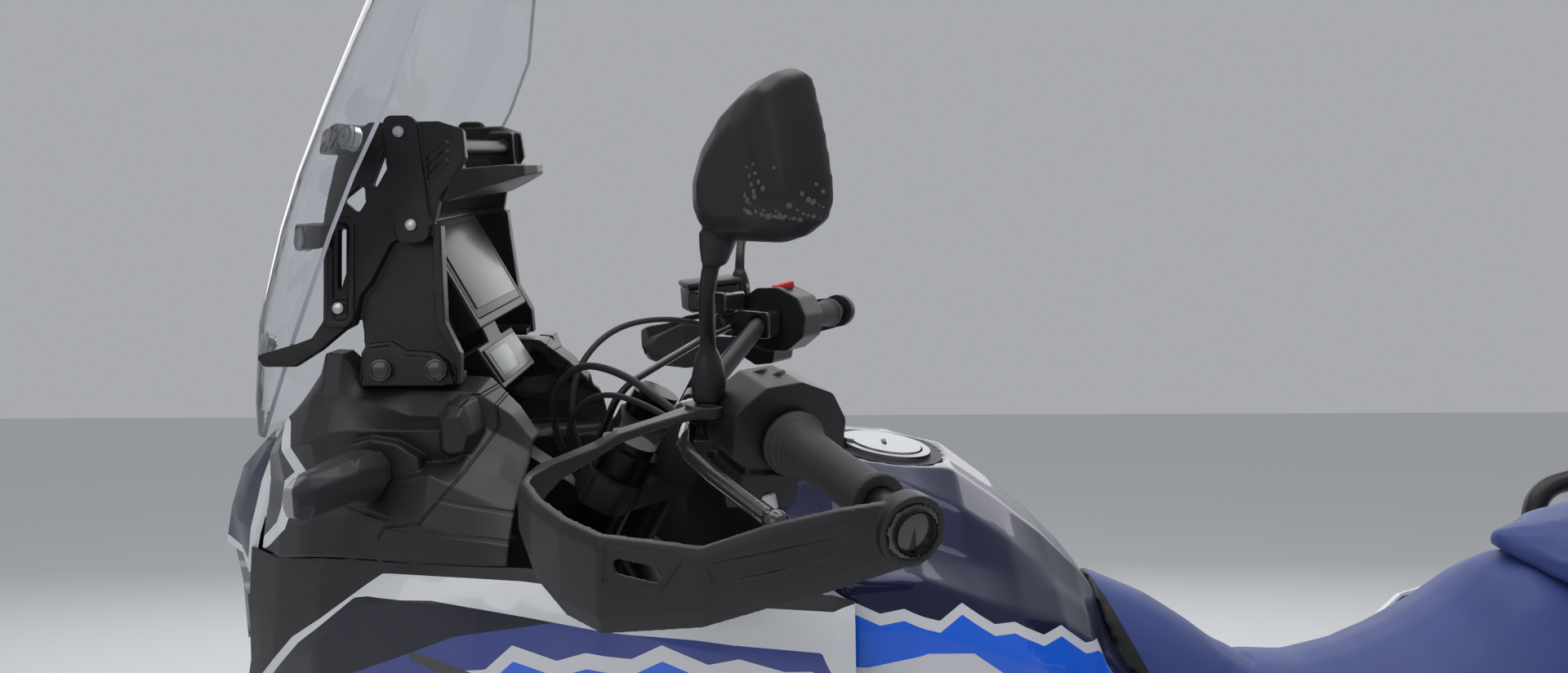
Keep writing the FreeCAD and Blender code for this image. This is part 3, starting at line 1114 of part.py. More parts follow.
def screen_towers():
    """Two plates that carry the screen, with windows, a slotted track, straps, feet and the visor between."""
    outline = [(78, 50), (100, 57), (130, 56), (160, 56), (180, 46), (190, 22), (195, 0),
               (200, -26), (200, -118), (210, -133), (224, -138), (260, -148), (252, -158), (226, -158),
               (202, -143), (182, -126), (172, -121), (168, -96), (159, -85), (141, -50), (128, -43),
               (104, -36), (98, -10), (89, 4), (76, 25)]
    plate = prism("xz", outline, -TOWER_PLATE, 0, 4)
    for window in ([(147, 31), (142, 31), (142, 20), (154, -2), (158, 2)],
                   [(168, 1), (164, -2), (163, -14), (168, -22), (172, -22), (184, -12)],
                   [(187, -37), (180, -37), (180, -76), (185, -92), (187, -90)]):
        plate = plate.cut(prism("xz", window, -40, 40, 2))
    track = prism("xz", [(191, -28), (177, -28), (172, -34), (172, -116), (178, -124), (197, -124),
                         (197, -34)], 0, 3.5, 3)
    room = prism("xz", [(188, -33), (179, -33), (177, -37), (177, -114), (180, -118), (190, -118),
                        (191, -37)], -1, 40, 3)
    sill = prism("xz", [(190, -100), (178, -100), (178, -118), (190, -118)], -1, 1.5, 3)
    strap = prism("xz", [(147, 47), (146, 61), (118, 61), (116, 43), (105, -33), (107, -50),
                         (134, -51), (137, -34)], -1, 5, 12)
    back = prism("xz", [(148, -38), (100, -30), (98, -62), (95, -119), (82, -146), (82, -178),
                        (169, -178), (167, -147), (168, -130), (172, -94), (160, -68)],
                 -TOWER_PLATE - 6, -TOWER_PLATE, 3)
    edge = prism("xz", [(106, -34), (98, -34), (97, -62), (94, -119), (81, -146), (81, -176),
                        (84, -176), (84, -150), (102, -124), (104, -90)], -TOWER_PLATE - 6, -2)
    lip = prism("xz", [(167, -146), (162, -138), (141, -136), (128, -144), (103, -146), (93, -154),
                       (85, -177), (170, -177)], -TOWER_PLATE - 1, -1, 3)
    face = prism("xz", [(164, -149), (159, -142), (142, -140), (130, -148), (105, -150), (97, -156),
                        (91, -180), (166, -180)], -3, 2.5, 3)
    latch = prism("xz", [(83, 10), (83, 54), (108, 54), (116, 36), (108, 10)], -TOWER_PLATE - 16,
                  -TOWER_PLATE, 3)
    marks = [prism("xz", [(106, z), (109, z + 2), (93, z + 17), (90, z + 15)], -1, 2) for z in (22, 14, 6)]
    flat = joined([plate, track.cut(room), sill, strap, back, edge, lip, face, latch] + marks)
    low = Part.makeBox(400, 200, 60, Vector(-132, 50, TOWER_LOW - 60))
    foot = Part.makeBox(84, 30, 7, Vector(84, TOWER_Y - 4, TOWER_LOW))
    arm = prism("xz", [(168, 484), (190, 476), (190, 456), (166, 462)], 98, 176, 3)
    middle_arm = prism("xz", [(190, 398), (218, 398), (218, 378), (190, 378)], 112, 156, 3)
    tower = joined([on_tower(flat).cut(low), foot, arm, middle_arm])
    bar = rod(Vector(95, -TOWER_Y + 10, 463), Vector(95, TOWER_Y - 10, 463), 7)
    blade = prism("xz", [(108, 416), (98, 443), (57, 447), (15, 445), (46, 435), (96, 416)],
                  4 - TOWER_Y, TOWER_Y - 4)
    swept = prism("xy", [(113, 4 - TOWER_Y), (113, TOWER_Y - 4), (90, TOWER_Y - 4), (68, 88), (42, 40),
                         (36, 12), (36, -12), (42, -40), (68, -88), (90, 4 - TOWER_Y)], 400, 460)
    return cockpit(joined([tower, mirrored(tower), bar, blade.common(swept)]))


def windscreen():
    """The tall clear screen: one curved sheet, wide at mid height and pointed at its foot."""
    levels = [
        # z, centre x, edge x, edge y
        (184, 328, 310, 44),
        (224, 320, 274, 98),
        (302, 305, 224, 150),
        (391, 274, 175, 180),
        (441, 254, 148, 190),
        (503, 225, 113, 195),
        (559, 198, 88, 190),
        (622, 168, 74, 166),
        (662, 148, 80, 118),
    ]
    wires = []
    for z, centre, edge, y in levels:
        t = SCREEN_THICKNESS
        outer = Part.Arc(Vector(edge, y, z), Vector(centre, 0, z), Vector(edge, -y, z)).toShape()
        inner = Part.Arc(Vector(edge - t, -y, z), Vector(centre - t, 0, z), Vector(edge - t, y, z)).toShape()
        sides = [Part.LineSegment(Vector(edge, -y, z), Vector(edge - t, -y, z)).toShape(),
                 Part.LineSegment(Vector(edge - t, y, z), Vector(edge, y, z)).toShape()]
        wires.append(Part.Wire([outer, sides[0], inner, sides[1]]))
    return cockpit(loft(wires))


def display():
    """The instrument screen, its stem and the small second display below it."""
    body = Part.makeBox(22, 180, 116, Vector(0, -90, -58))
    body = body.cut(Part.makeBox(3, 164, 100, Vector(-0.5, -82, -50)))
    body.rotate(Vector(0, 0, 0), Vector(0, 1, 0), DISPLAY_TILT)
    body.translate(Vector(104, 0, 350))
    second = Part.makeBox(26, 130, 46, Vector(0, -65, -23))
    second.rotate(Vector(0, 0, 0), Vector(0, 1, 0), DISPLAY_TILT + 4)
    second.translate(Vector(76, 0, 256))
    stem = prism("xz", [(108, 184), (134, 184), (144, 290), (134, 350), (116, 340), (92, 284),
                        (82, 260)], -24, 24)
    return cockpit(joined([body, stem, second]))


def cowls():
    """The upper cowl beside a tower: front horn, the indicator's arch and knob, and the rear shelf."""
    shell = skin([
        # x, then y, z of the top, the horn's edge, its foot, the arm's edge, the hollow, two ledges and the
        # bottom
        (266, [(74, 206), (90, 206), (106, 200), (122, 188), (124, 166), (132, 146), (142, 128), (150, 110)]),
        (236, [(88, 232), (116, 234), (146, 228), (168, 204), (162, 174), (166, 152), (176, 138),
                (183, 114)]),
        (208, [(108, 260), (134, 266), (160, 248), (188, 216), (178, 184), (184, 162), (198, 148),
                (206, 122)]),
        (196, [(122, 286), (150, 287), (164, 251), (194, 218), (182, 187), (190, 168), (204, 154),
                (213, 125)]),
        (182, [(122, 285), (150, 286), (165, 251), (195, 226), (184, 191), (194, 174), (210, 158),
                (219, 127)]),
        (160, [(110, 257), (142, 256), (165, 249), (196, 229), (186, 194), (202, 180), (222, 162),
                (229, 130)]),
        (120, [(104, 256), (149, 254), (165, 234), (196, 229), (188, 198), (212, 190), (238, 165),
                (240, 131)]),
        (88, [(100, 256), (149, 253), (165, 233), (196, 229), (190, 200), (222, 198), (243, 162),
                (246, 131)]),
        (76, [(100, 256), (149, 252), (160, 233), (188, 228), (194, 202), (224, 192), (244, 159),
                (247, 131)]),
        (66, [(100, 255), (148, 251), (156, 224), (172, 214), (200, 204), (225, 188), (245, 156),
                (249, 131)]),
        (38, [(110, 230), (146, 230), (154, 210), (166, 202), (200, 192), (225, 175), (246, 150),
                (252, 131)]),
        (20, [(122, 208), (148, 208), (156, 198), (166, 192), (200, 180), (225, 167), (247, 146),
                (254, 132)]),
    ])
    arch = prism("xz", [(174, 192), (170, 208), (160, 219), (142, 224), (121, 220), (102, 207),
                        (101, 198), (116, 184), (158, 180)], 186, 206, 5)
    knob = loft([Part.makePolygon([Vector(x, y, z) for x, z in ring + ring[:1]]) for y, ring in (
        (158, [(89, 244), (78, 252), (64, 250), (57, 224), (63, 204), (80, 202), (89, 210)]),
        (190, [(88, 242), (79, 249), (66, 249), (58, 225), (63, 208), (79, 204), (87, 210)]),
        (202, [(83, 236), (77, 242), (68, 242), (62, 225), (66, 212), (77, 210), (83, 214)]))])
    return cockpit(joined([shell, arch, knob]))


def side_fairings():
    """The side panel from the nose to the tank's side, with the light band's bevel along it."""
    shell = skin([
        # x, then y, z of the top edge, the dark panel, the band's two edges, the side and the foot
        (280, [(141, 108), (154, 60), (160, 8), (167, -5), (160, -16), (150, -28)]),
        (258, [(162, 110), (176, 62), (186, 19), (195, 4), (188, -28), (168, -48)]),
        (236, [(184, 113), (196, 72), (206, 34), (217, 19), (210, -32), (184, -66)]),
        (182, [(219, 126), (228, 102), (236, 81), (247, 66), (240, -20), (208, -100)]),
        (136, [(235, 130), (239, 121), (244, 113), (255, 101), (250, -30), (220, -124)]),
        (104, [(243, 130.5), (247, 127), (251, 123), (261, 106), (256, -40), (224, -144)]),
        (38, [(252, 130.5), (255, 127), (259, 123), (269, 103), (262, -50), (228, -180)]),
        (6, [(255, 131), (259, 127), (263, 123), (274, 98), (266, -54), (230, -200)]),
        (-62, [(262, 126), (266, 122), (271, 117), (284, 92), (274, -65), (236, -240)]),
        (-162, [(256, 110), (260, 106), (266, 101), (280, 66), (270, -70), (238, -280)]),
        (-242, [(238, 100), (243, 95), (251, 88), (266, 52), (258, -70), (234, -210)]),
        (-260, [(231, 92), (235, 86), (242, 76), (254, 40), (249, -60), (230, -160)]),
    ])
    return cockpit(shell)


def nose_panel():
    """The panel between the lamp and the foot of the screen, creased along its corners."""
    sections = []
    for z, half in ((84, [(284, 142), (314, 92), (344, 62), (358, 0)]),
                    (120, [(276, 140), (313, 97), (336, 62), (351, 0)]),
                    (160, [(268, 124), (298, 95), (322, 60), (335, 0)]),
                    (185, [(263, 106), (285, 86), (301, 52), (311, 0)]),
                    (206, [(260, 88), (271, 74), (281, 42), (288, 0)])):
        outer = half + [(x, -y) for x, y in reversed(half[:-1])]
        ring = outer + [(x - PANEL - 1, y) for x, y in reversed(outer)]
        sections.append(Part.makePolygon([Vector(x, y, z) for x, y in ring + ring[:1]]))
    return cockpit(loft(sections))


def headlight():
    """The lamp's housing, open to the front round four projector barrels."""
    def section(z, x, y):
        points = [(218, 70), (x - 26, y), (x, y - 16), (x + 20, 0)]
        ring = points + [(a, -b) for a, b in reversed(points[:-1])]
        return Part.makePolygon([Vector(a, b, z) for a, b in ring + ring[:1]])

    body = loft([section(-20, 314, 76), section(40, 325, 88), section(83, 326, 96)])
    room = loft([Part.makePolygon([Vector(x, y, z) for y, z in ring]) for x, ring in (
        (268, [(-58, -4), (58, -4), (70, 70), (-70, 70), (-58, -4)]),
        (368, [(-64, -8), (64, -8), (80, 74), (-80, 74), (-64, -8)]))])
    body = body.cut(room)
    barrels = []
    for z, y in ((53, 36), (53, -36), (14, 32), (14, -32)):
        barrels.append(rod(Vector(266, y, z), Vector(302, y, z), 17))
        barrels.append(rod(Vector(301, y, z), Vector(308, y, z), 12))
    return cockpit(joined([body] + barrels))


def indicator(rings):
    """A direction indicator's pod, through rings of a place and two half widths."""
    wires = []
    for y, x, z, wide, tall in rings:
        corners = [(-wide, tall * 0.4), (-wide * 0.5, tall), (wide * 0.5, tall), (wide, tall * 0.4),
                   (wide, -tall * 0.4), (wide * 0.5, -tall), (-wide * 0.5, -tall), (-wide, -tall * 0.4)]
        wires.append(Part.makePolygon([Vector(x + u, y, z + v) for u, v in corners + corners[:1]]))
    return loft(wires)


def front_indicator():
    return cockpit(indicator([(200, 138, 197, 15, 18), (218, 140, 198, 15, 17), (221, 141, 198, 18, 22),
                              (262, 144, 206, 16, 18), (318, 150, 210, 9, 17), (334, 153, 211, 5, 11)]))


def rear_indicator():
    return indicator([(48, -944, 880, 12, 9), (104, -946, 880, 12, 9), (110, -946, 880, 16, 14),
                      (166, -950, 880, 16, 14), (186, -950, 880, 8, 9)])


def rear_side_covers():
    """The panel below the seats, folded in over the rear frame, with a raised rear edge."""
    return skin([
        (-92, [(120, 806), (140, 782), (140, 700), (126, 650)]),
        (-200, [(112, 768), (132, 750), (142, 690), (128, 640)]),
        (-324, [(126, 762), (144, 744), (144, 690), (128, 650)]),
        (-420, [(139, 776), (152, 762), (152, 712), (134, 682)]),
        (-460, [(140, 806), (152, 799), (154, 744), (134, 712)]),
        (-494, [(140, 842), (152, 836), (154, 770), (134, 730)]),
        (-562, [(134, 866), (150, 859), (150, 800), (130, 770)]),
        (-700, [(116, 892), (136, 876), (132, 838), (116, 818)]),
        (-850, [(104, 908), (120, 892), (110, 860), (100, 850)]),
    ])


def rear_carrier():
    """Grab rails swept round the seat and the slotted plate behind it."""
    rail = tube([Vector(-612, 100, 852), Vector(-644, 150, 896), Vector(-662, 172, 958),
                 Vector(-724, 172, 976),
                 Vector(-860, 136, 990), Vector(-1000, 60, 996)], 12, 45)
    outline = [(-756, 116), (-990, 96), (-1020, 60), (-1020, -60), (-990, -96), (-756, -116)]
    plate = prism("xy", outline, 984, 992, 18)
    for i in range(5):
        plate = plate.cut(prism("xy", [(-800 - 42 * i, 70), (-814 - 42 * i, 70), (-814 - 42 * i, -70),
                                       (-800 - 42 * i, -70)],
                                980, 996, 6))
    legs = [rod(Vector(-790, 92, 902), Vector(-790, 92, 986), 9),
            rod(Vector(-860, 90, 912), Vector(-900, 86, 986), 9)]
    side = joined([rail] + legs)
    holes = [Part.makeCylinder(CARRIER_HOLE_RADIUS, 30, Vector(x, y, 975)) for x, y in CARRIER_HOLES]
    plate = joined([plate, side, mirrored(side)])
    for hole in holes:
        plate = plate.cut(hole)
    return plate


def tail_light():
    body = prism("xz", [(-846, 904), (-862, 868), (-960, 862), (-984, 880), (-978, 908), (-940, 918),
                        (-880, 926), (-850, 926)], -56, 56, 6)
    lens = prism("xz", [(-970, 866), (-996, 876), (-990, 906), (-970, 908)], -44, 44)
    return joined([body, lens])


def rear_fender():
    """The tail's mudguard, down to the bare plate holder."""
    shell = []
    for x, z, half, drop in ((-880, 850, 82, 20), (-970, 846, 80, 22), (-1050, 780, 70, 16),
                             (-1130, 690, 66, 8)):
        points = [(-half, -drop), (-half + 14, 0), (half - 14, 0), (half, -drop), (half - 3, -drop - 2),
                  (half - 16, -4),
                  (-half + 16, -4), (-half + 3, -drop - 2)]
        shell.append(Part.makePolygon([Vector(x, y, z + v) for y, v in points + points[:1]]))
    body = loft(shell)
    post = prism("xz", [(-884, 870), (-950, 870), (-962, 842), (-884, 846)], -30, 30)
    plate = prism("xz", [(-1096, 770), (-1100, 772), (-1150, 640), (-1146, 638)], -90, 90)
    return joined([body, post, plate])


def build():
    """Every piece in its upright place, cut back from what it is fastened to."""
    p = {}
    p.update(front_wheel())
    p.update(rear_wheel())
    p["frame"] = frame()
    p["engine"] = engine()
    p["sprocket_cover"] = sprocket_cover()
    p["skid_plate"] = skid_plate()
    p["radiator"] = radiator().cut(p["frame"])
    p["silencer"] = silencer()
    p["exhaust"] = largest(exhaust().cut(p["engine"]).cut(p["silencer"]))
    p["subframe"] = subframe().cut(p["frame"]).cut(p["silencer"])
    p["swingarm"] = swingarm()
    p["rear_spindles"] = rear_spindles()
    p["rear_shock"] = rear_shock()
    p["drive_chain"] = drive_chain()
    p["rear_caliper"] = rear_caliper()
    p["rear_hugger"] = rear_hugger()
    pegs = foot_controls().cut(p["frame"])
    p["footpegs"] = Part.makeCompound([pegs, mirrored(foot_controls()).cut(p["frame"])])
    p["pedals"] = Part.makeCompound([gear_lever(), largest(brake_pedal().cut(p["footpegs"]))])
    p["side_stand"] = side_stand()

    p["yokes"] = yokes()
    legs = fork_legs()
    caliper = front_calipers()
    legs = largest(legs.cut(caliper))
    p["fork_legs"] = pair(legs)
    p["front_calipers"] = pair(caliper)
    p["front_axle"] = front_axle()
    p["handlebar"] = handlebar()
    p["grips"] = grips()
    p["handguards"] = handguards().cut(p["handlebar"])
    p["switchgear"] = switchgear().cut(p["handguards"])
    p["levers"] = levers().cut(p["switchgear"]).cut(p["handlebar"]).cut(p["handguards"])
    p["mirrors"] = mirrors().cut(p["handguards"]).cut(p["levers"]).cut(p["switchgear"])
    p["front_fender"] = front_fender()
    p["front_hoses"] = largest(front_hoses().cut(p["front_calipers"]).cut(p["levers"]))

    p["fuel_tank"] = fuel_tank().cut(p["frame"]).cut(p["subframe"])
    p["filler_ring"] = filler_ring()
    p["fuel_cap"] = fuel_cap()
    p["rider_seat"] = largest(rider_seat().cut(p["subframe"]).cut(p["frame"]).cut(p["fuel_tank"]))
    p["pillion_seat"] = largest(pillion_seat().cut(p["subframe"]))
    stay, post = cockpit_frame()
    p["windscreen"] = windscreen()
    p["screen_towers"] = largest(screen_towers().cut(p["windscreen"]))
    cowl = largest(cowls().cut(post).cut(p["screen_towers"]))
    p["cowls"] = pair(cowl)
    fairing = side_fairings().cut(cowl).cut(p["fuel_tank"])
    p["side_fairings"] = pair(largest(fairing))
    p["nose_panel"] = nose_panel().cut(p["cowls"]).cut(p["side_fairings"])
    stay = largest(stay.cut(p["frame"]).cut(p["cowls"]).cut(p["side_fairings"]))
    p["cockpit_frame"] = joined([stay, post, mirrored(post)])
    p["headlight"] = headlight().cut(p["cockpit_frame"])
    p["display"] = largest(display().cut(p["cockpit_frame"]).cut(p["screen_towers"]))
    p["front_indicators"] = pair(largest(front_indicator().cut(cowl).cut(p["cockpit_frame"])))
    p["rear_carrier"] = rear_carrier().cut(p["subframe"])
    cover = rear_side_covers().cut(p["subframe"]).cut(p["rear_carrier"]).cut(p["fuel_tank"])
    p["rear_side_covers"] = pair(largest(cover))
    p["tail_light"] = tail_light().cut(p["subframe"])
    p["rear_fender"] = rear_fender().cut(p["tail_light"]).cut(p["subframe"])
    p["rear_indicators"] = pair(largest(rear_indicator().cut(p["tail_light"])))
    return p


def leaned(shape):
    """The piece as it stands: leaned over to the left and lifted until the tyres touch the ground."""
    moved = shape.copy()
    moved.rotate(Vector(0, 0, 0), Vector(1, 0, 0), -LEAN)
    lift = (REAR_TYRE_WIDTH / 2) * (1 - math.cos(math.radians(LEAN)))
    moved.translate(Vector(CENTRE_SHIFT_X, CENTRE_SHIFT_Y, lift))
    return moved


def main():
    os.makedirs("parts", exist_ok=True)
    for name, shape in build().items():
        leaned(shape).exportStep(f"parts/{name}.step")


if __name__ == "__main__":
    main()
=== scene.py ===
import math

import bpy
from mathutils import Matrix, Vector


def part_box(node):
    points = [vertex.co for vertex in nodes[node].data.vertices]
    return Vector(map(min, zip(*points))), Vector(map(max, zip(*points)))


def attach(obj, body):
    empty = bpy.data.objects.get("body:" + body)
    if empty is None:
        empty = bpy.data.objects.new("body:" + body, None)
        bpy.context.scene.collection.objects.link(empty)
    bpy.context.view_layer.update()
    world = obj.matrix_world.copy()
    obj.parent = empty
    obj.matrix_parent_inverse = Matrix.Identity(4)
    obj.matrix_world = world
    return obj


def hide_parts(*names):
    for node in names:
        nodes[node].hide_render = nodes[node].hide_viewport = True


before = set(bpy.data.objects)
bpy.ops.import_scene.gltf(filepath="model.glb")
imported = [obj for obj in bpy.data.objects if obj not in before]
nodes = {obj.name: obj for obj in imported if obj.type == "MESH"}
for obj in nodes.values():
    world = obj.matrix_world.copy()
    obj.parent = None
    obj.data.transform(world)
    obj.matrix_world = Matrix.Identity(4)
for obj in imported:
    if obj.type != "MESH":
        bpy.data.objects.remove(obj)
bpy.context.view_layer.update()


# The camera stands on the left of the machine, level with its cockpit and close to it, where
# the photograph was taken from: a wide lens, tilted up two degrees.
CAMERA_PLACE = (0.2338, 1.1196, 1.1129)
CAMERA_TURN = (92.0226, 0.2405, -179.7912)  # degrees about x, y and z
SENSOR_WIDTH = 36
FOCAL_LENGTH = 25.452
NEAREST = 0.02
bpy.ops.object.select_all(action="DESELECT")
bpy.ops.object.camera_add(location=CAMERA_PLACE)
camera = bpy.context.object
camera.rotation_euler = [math.radians(angle) for angle in CAMERA_TURN]
camera.data.sensor_width = SENSOR_WIDTH
camera.data.lens = FOCAL_LENGTH
camera.data.clip_start = NEAREST
bpy.context.scene.camera = camera


# Frame, rear frame, yokes, stand, pedals and calipers are welded, forged or cast, under black
# powder coat: a satin skin with a faint orange peel. New pieces are modelled in the upright
# machine and leaned over with it when done, and copies of CAD nodes stand where they are.
class Socket:
    """The output of a shader node: arithmetic on it adds Math nodes."""

    def __init__(self, finish, output):
        self.finish = finish
        self.output = output

    def math(self, operation, *others, clamp=False):
        values = dict(enumerate((self,) + others))
        return self.finish.node("ShaderNodeMath", {"operation": operation, "use_clamp": clamp}, values)

    def __add__(self, other):
        return self.math("ADD", other)

    def __sub__(self, other):
        return self.math("SUBTRACT", other)

    def __rsub__(self, other):
        return self.math("MULTIPLY_ADD", -1.0, other)

    def __mul__(self, other):
        return self.math("MULTIPLY", other)

    def __gt__(self, other):
        return self.math("GREATER_THAN", other)

    def __lt__(self, other):
        return self.math("LESS_THAN", other)

    def share(self, low, high):
        """0 below low, 1 above high and even in between."""
        return self.finish.node("ShaderNodeMapRange", {}, {0: self, 1: low, 2: high})


LEAN = math.radians(11.6)
LEAN_SHIFT = (0.0076, -0.2284, 0.00153)  # brings the leaned machine over the origin
STAND = Matrix.Translation(LEAN_SHIFT) @ Matrix.Rotation(-LEAN, 4, "X")


class Finish:
    """One material: its shader's settings and the nodes that vary them."""

    def __init__(self, name, **settings):
        self.material = bpy.data.materials.new(name)
        self.material.use_nodes = True
        self.tree = self.material.node_tree
        self.shader = self.tree.nodes["Principled BSDF"]
        self.places = self.node("ShaderNodeTexCoord", output="Object")
        for socket, value in settings.items():
            self.set(socket.replace("_", " "), value)

    def put(self, socket, value):
        if isinstance(value, Socket):
            self.tree.links.new(value.output, socket)
        else:
            socket.default_value = value

    def set(self, socket, value):
        self.put(self.shader.inputs[socket], value)

    def node(self, kind, settings=None, values=None, output=0):
        made = self.tree.nodes.new(kind)
        for name, value in (settings or {}).items():
            setattr(made, name, value)
        for name, value in (values or {}).items():
            self.put(made.inputs[name], value)
        return Socket(self, made.outputs[output])

    def noise(self, scale, detail=3.0, roughness=0.5, stretch=(1, 1, 1)):
        """Cloudy noise of so many cells a metre, stretched along an axis where its factor is small."""
        vector = self.places
        if stretch != (1, 1, 1):
            vector = self.node("ShaderNodeMapping", {}, {"Vector": self.places, "Scale": stretch})
        values = {"Vector": vector, "Scale": scale, "Detail": detail, "Roughness": roughness}
        return self.node("ShaderNodeTexNoise", {}, values)

    def mix(self, share, first, second):
        """The first colour where share is 0 and the second where it is 1."""
        return self.node("ShaderNodeMix", {"data_type": "RGBA"}, {0: share, 6: first, 7: second}, output=2)

    def bump(self, height, distance):
        values = {"Height": height, "Distance": distance, "Strength": 1.0}
        self.set("Normal", self.node("ShaderNodeBump", {}, values))

    def upright(self):
        """x, y and z in the upright machine, in metres."""
        move = STAND.inverted().translation
        values = {"Vector": self.places, "Location": move, "Rotation": (LEAN, 0, 0)}
        turned = self.node("ShaderNodeMapping", {}, values)
        split = self.node("ShaderNodeSeparateXYZ", {}, {0: turned})
        return [Socket(self, split.output.node.outputs[i]) for i in range(3)]

    def groove(self, across, up, points, width):
        """1 along a line through points, in mm, and 0 further from it than its width, in metres."""
        points = [(x / 1000, z / 1000) for x, z in points]
        nearest = None
        for (x, z), (next_x, next_z) in zip(points, points[1:]):
            run, rise = next_x - x, next_z - z
            from_x, from_z = across - x, up - z
            share = (from_x * run + from_z * rise).math("DIVIDE", run * run + rise * rise, clamp=True)
            off_x, off_z = from_x - share * run, from_z - share * rise
            gap = (off_x * off_x + off_z * off_z).math("SQRT")
            nearest = gap if nearest is None else nearest.math("MINIMUM", gap)
        return 1 - nearest.share(0.4 * width, width)

    def line(self, along, points):
        """The height of a line drawn through points, in mm, at each place along it."""
        points = [(place / 1000, height / 1000) for place, height in points]
        low, high = points[0][0], points[-1][0]
        heights = [height for place, height in points]
        floor, reach = min(heights), max(max(heights) - min(heights), 0.001)
        ramp = self.node("ShaderNodeValToRGB", {}, {0: along.share(low, high)})
        stops = ramp.output.node.color_ramp.elements
        for place, height in points[1:-1]:
            stops.new((place - low) / (high - low))
        for stop, (place, height) in zip(sorted(stops, key=lambda s: s.position), points):
            grey = (height - floor) / reach
            stop.color = (grey, grey, grey, 1)
        return ramp * reach + floor


def shade(colour, share):
    return [min(1.0, share * part) for part in colour[:3]] + [1]


def grained(name, colour, roughness, cells=2600, depth=0.00006):
    """A moulded or coated black surface: a fine even grain that breaks up the shine."""
    finish = Finish(name, Specular_IOR_Level=0.4)
    cloud = finish.noise(9, 3.0)
    finish.set("Base Color", finish.mix(cloud.share(0.35, 0.65), shade(colour, 0.8), colour))
    finish.set("Roughness", cloud * 0.1 + (roughness - 0.05))
    finish.bump(finish.noise(cells, 2.0), depth)
    return finish


def active(piece):
    bpy.ops.object.select_all(action="DESELECT")
    piece.select_set(True)
    bpy.context.view_layer.objects.active = piece


def applied(piece, kind, **settings):
    """Adds a modifier to a piece and applies it."""
    active(piece)
    modifier = piece.modifiers.new(kind.lower(), kind)
    for name, value in settings.items():
        setattr(modifier, name, value)
    bpy.ops.object.modifier_apply(modifier=modifier.name)


def fitted(piece, name, body, finish, lean=True, angle=35):
    """Puts a finished piece where it stands, with its body and its material."""
    active(piece)
    bpy.ops.object.transform_apply(location=True, rotation=True, scale=True)
    if lean:
        piece.data.transform(STAND)
    bpy.ops.object.shade_smooth_by_angle(angle=math.radians(angle))
    piece.name = name
    piece.data.materials.clear()
    piece.data.materials.append(finish.material)
    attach(piece, body)
    return piece


def node_copy(node):
    """A merged copy of a CAD node's mesh."""
    piece = bpy.data.objects.new(node + "_piece", nodes[node].data.copy())
    bpy.context.collection.objects.link(piece)
    active(piece)
    bpy.ops.object.mode_set(mode="EDIT")
    bpy.ops.mesh.select_all(action="SELECT")
    bpy.ops.mesh.remove_doubles(threshold=0.00003)
    bpy.ops.mesh.customdata_custom_splitnormals_clear()
    bpy.ops.object.mode_set(mode="OBJECT")
    return piece


def moulded(node, body, finish, cell, rounds, keep):
    """A copy of a CAD node that stands for it, its edges rounded as in the mould: remeshed in
    cells of that size, smoothed for so many rounds and thinned to the share to keep."""
    piece = node_copy(node)
    applied(piece, "REMESH", mode="VOXEL", voxel_size=cell)
    applied(piece, "SMOOTH", factor=0.5, iterations=rounds)
    applied(piece, "DECIMATE", ratio=keep)
    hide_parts(node)
    return fitted(piece, node + "_moulding", body, finish, lean=False, angle=60)


def dress(finish, *names):
    """Gives CAD nodes a material."""
    for name in names:
        nodes[name].data.materials.clear()
        nodes[name].data.materials.append(finish.material)


powder_coat = grained("black_powder_coat", (0.011, 0.011, 0.012, 1), 0.38, 900, 0.00004)
dress(powder_coat, "frame", "subframe", "yokes", "side_stand", "footpegs", "pedals", "cockpit_frame",
      "radiator", "rear_caliper")
moulded("front_calipers", "steering", powder_coat, 0.0016, 4, 0.5)


# The engine's cases and barrels are sand-cast aluminium in dark grey paint, matte, with a
# coarse skin. The sprocket's cover is cast too, and its edges are broken.
cast_paint = Finish("engine_paint", Metallic=0.3)
sand = cast_paint.noise(420, 4.0, 0.6)
cast_paint.set("Base Color", cast_paint.mix(sand.share(0.3, 0.7), (0.03, 0.031, 0.034, 1),
                                            (0.06, 0.062, 0.066, 1)))
cast_paint.set("Roughness", sand * 0.2 + 0.4)
cast_paint.bump(sand, 0.00012)
dress(cast_paint, "engine")
cover = node_copy("sprocket_cover")
bpy.ops.object.mode_set(mode="EDIT")
bpy.ops.mesh.select_all(action="SELECT")
bpy.ops.mesh.dissolve_limited(angle_limit=math.radians(1))
bpy.ops.object.mode_set(mode="OBJECT")
applied(cover, "BEVEL", width=0.0012, segments=2, limit_method="ANGLE", angle_limit=math.radians(32),
        use_clamp_overlap=False, harden_normals=False)
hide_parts("sprocket_cover")
fitted(cover, "sprocket_cover_piece", "chassis", cast_paint, lean=False, angle=40)


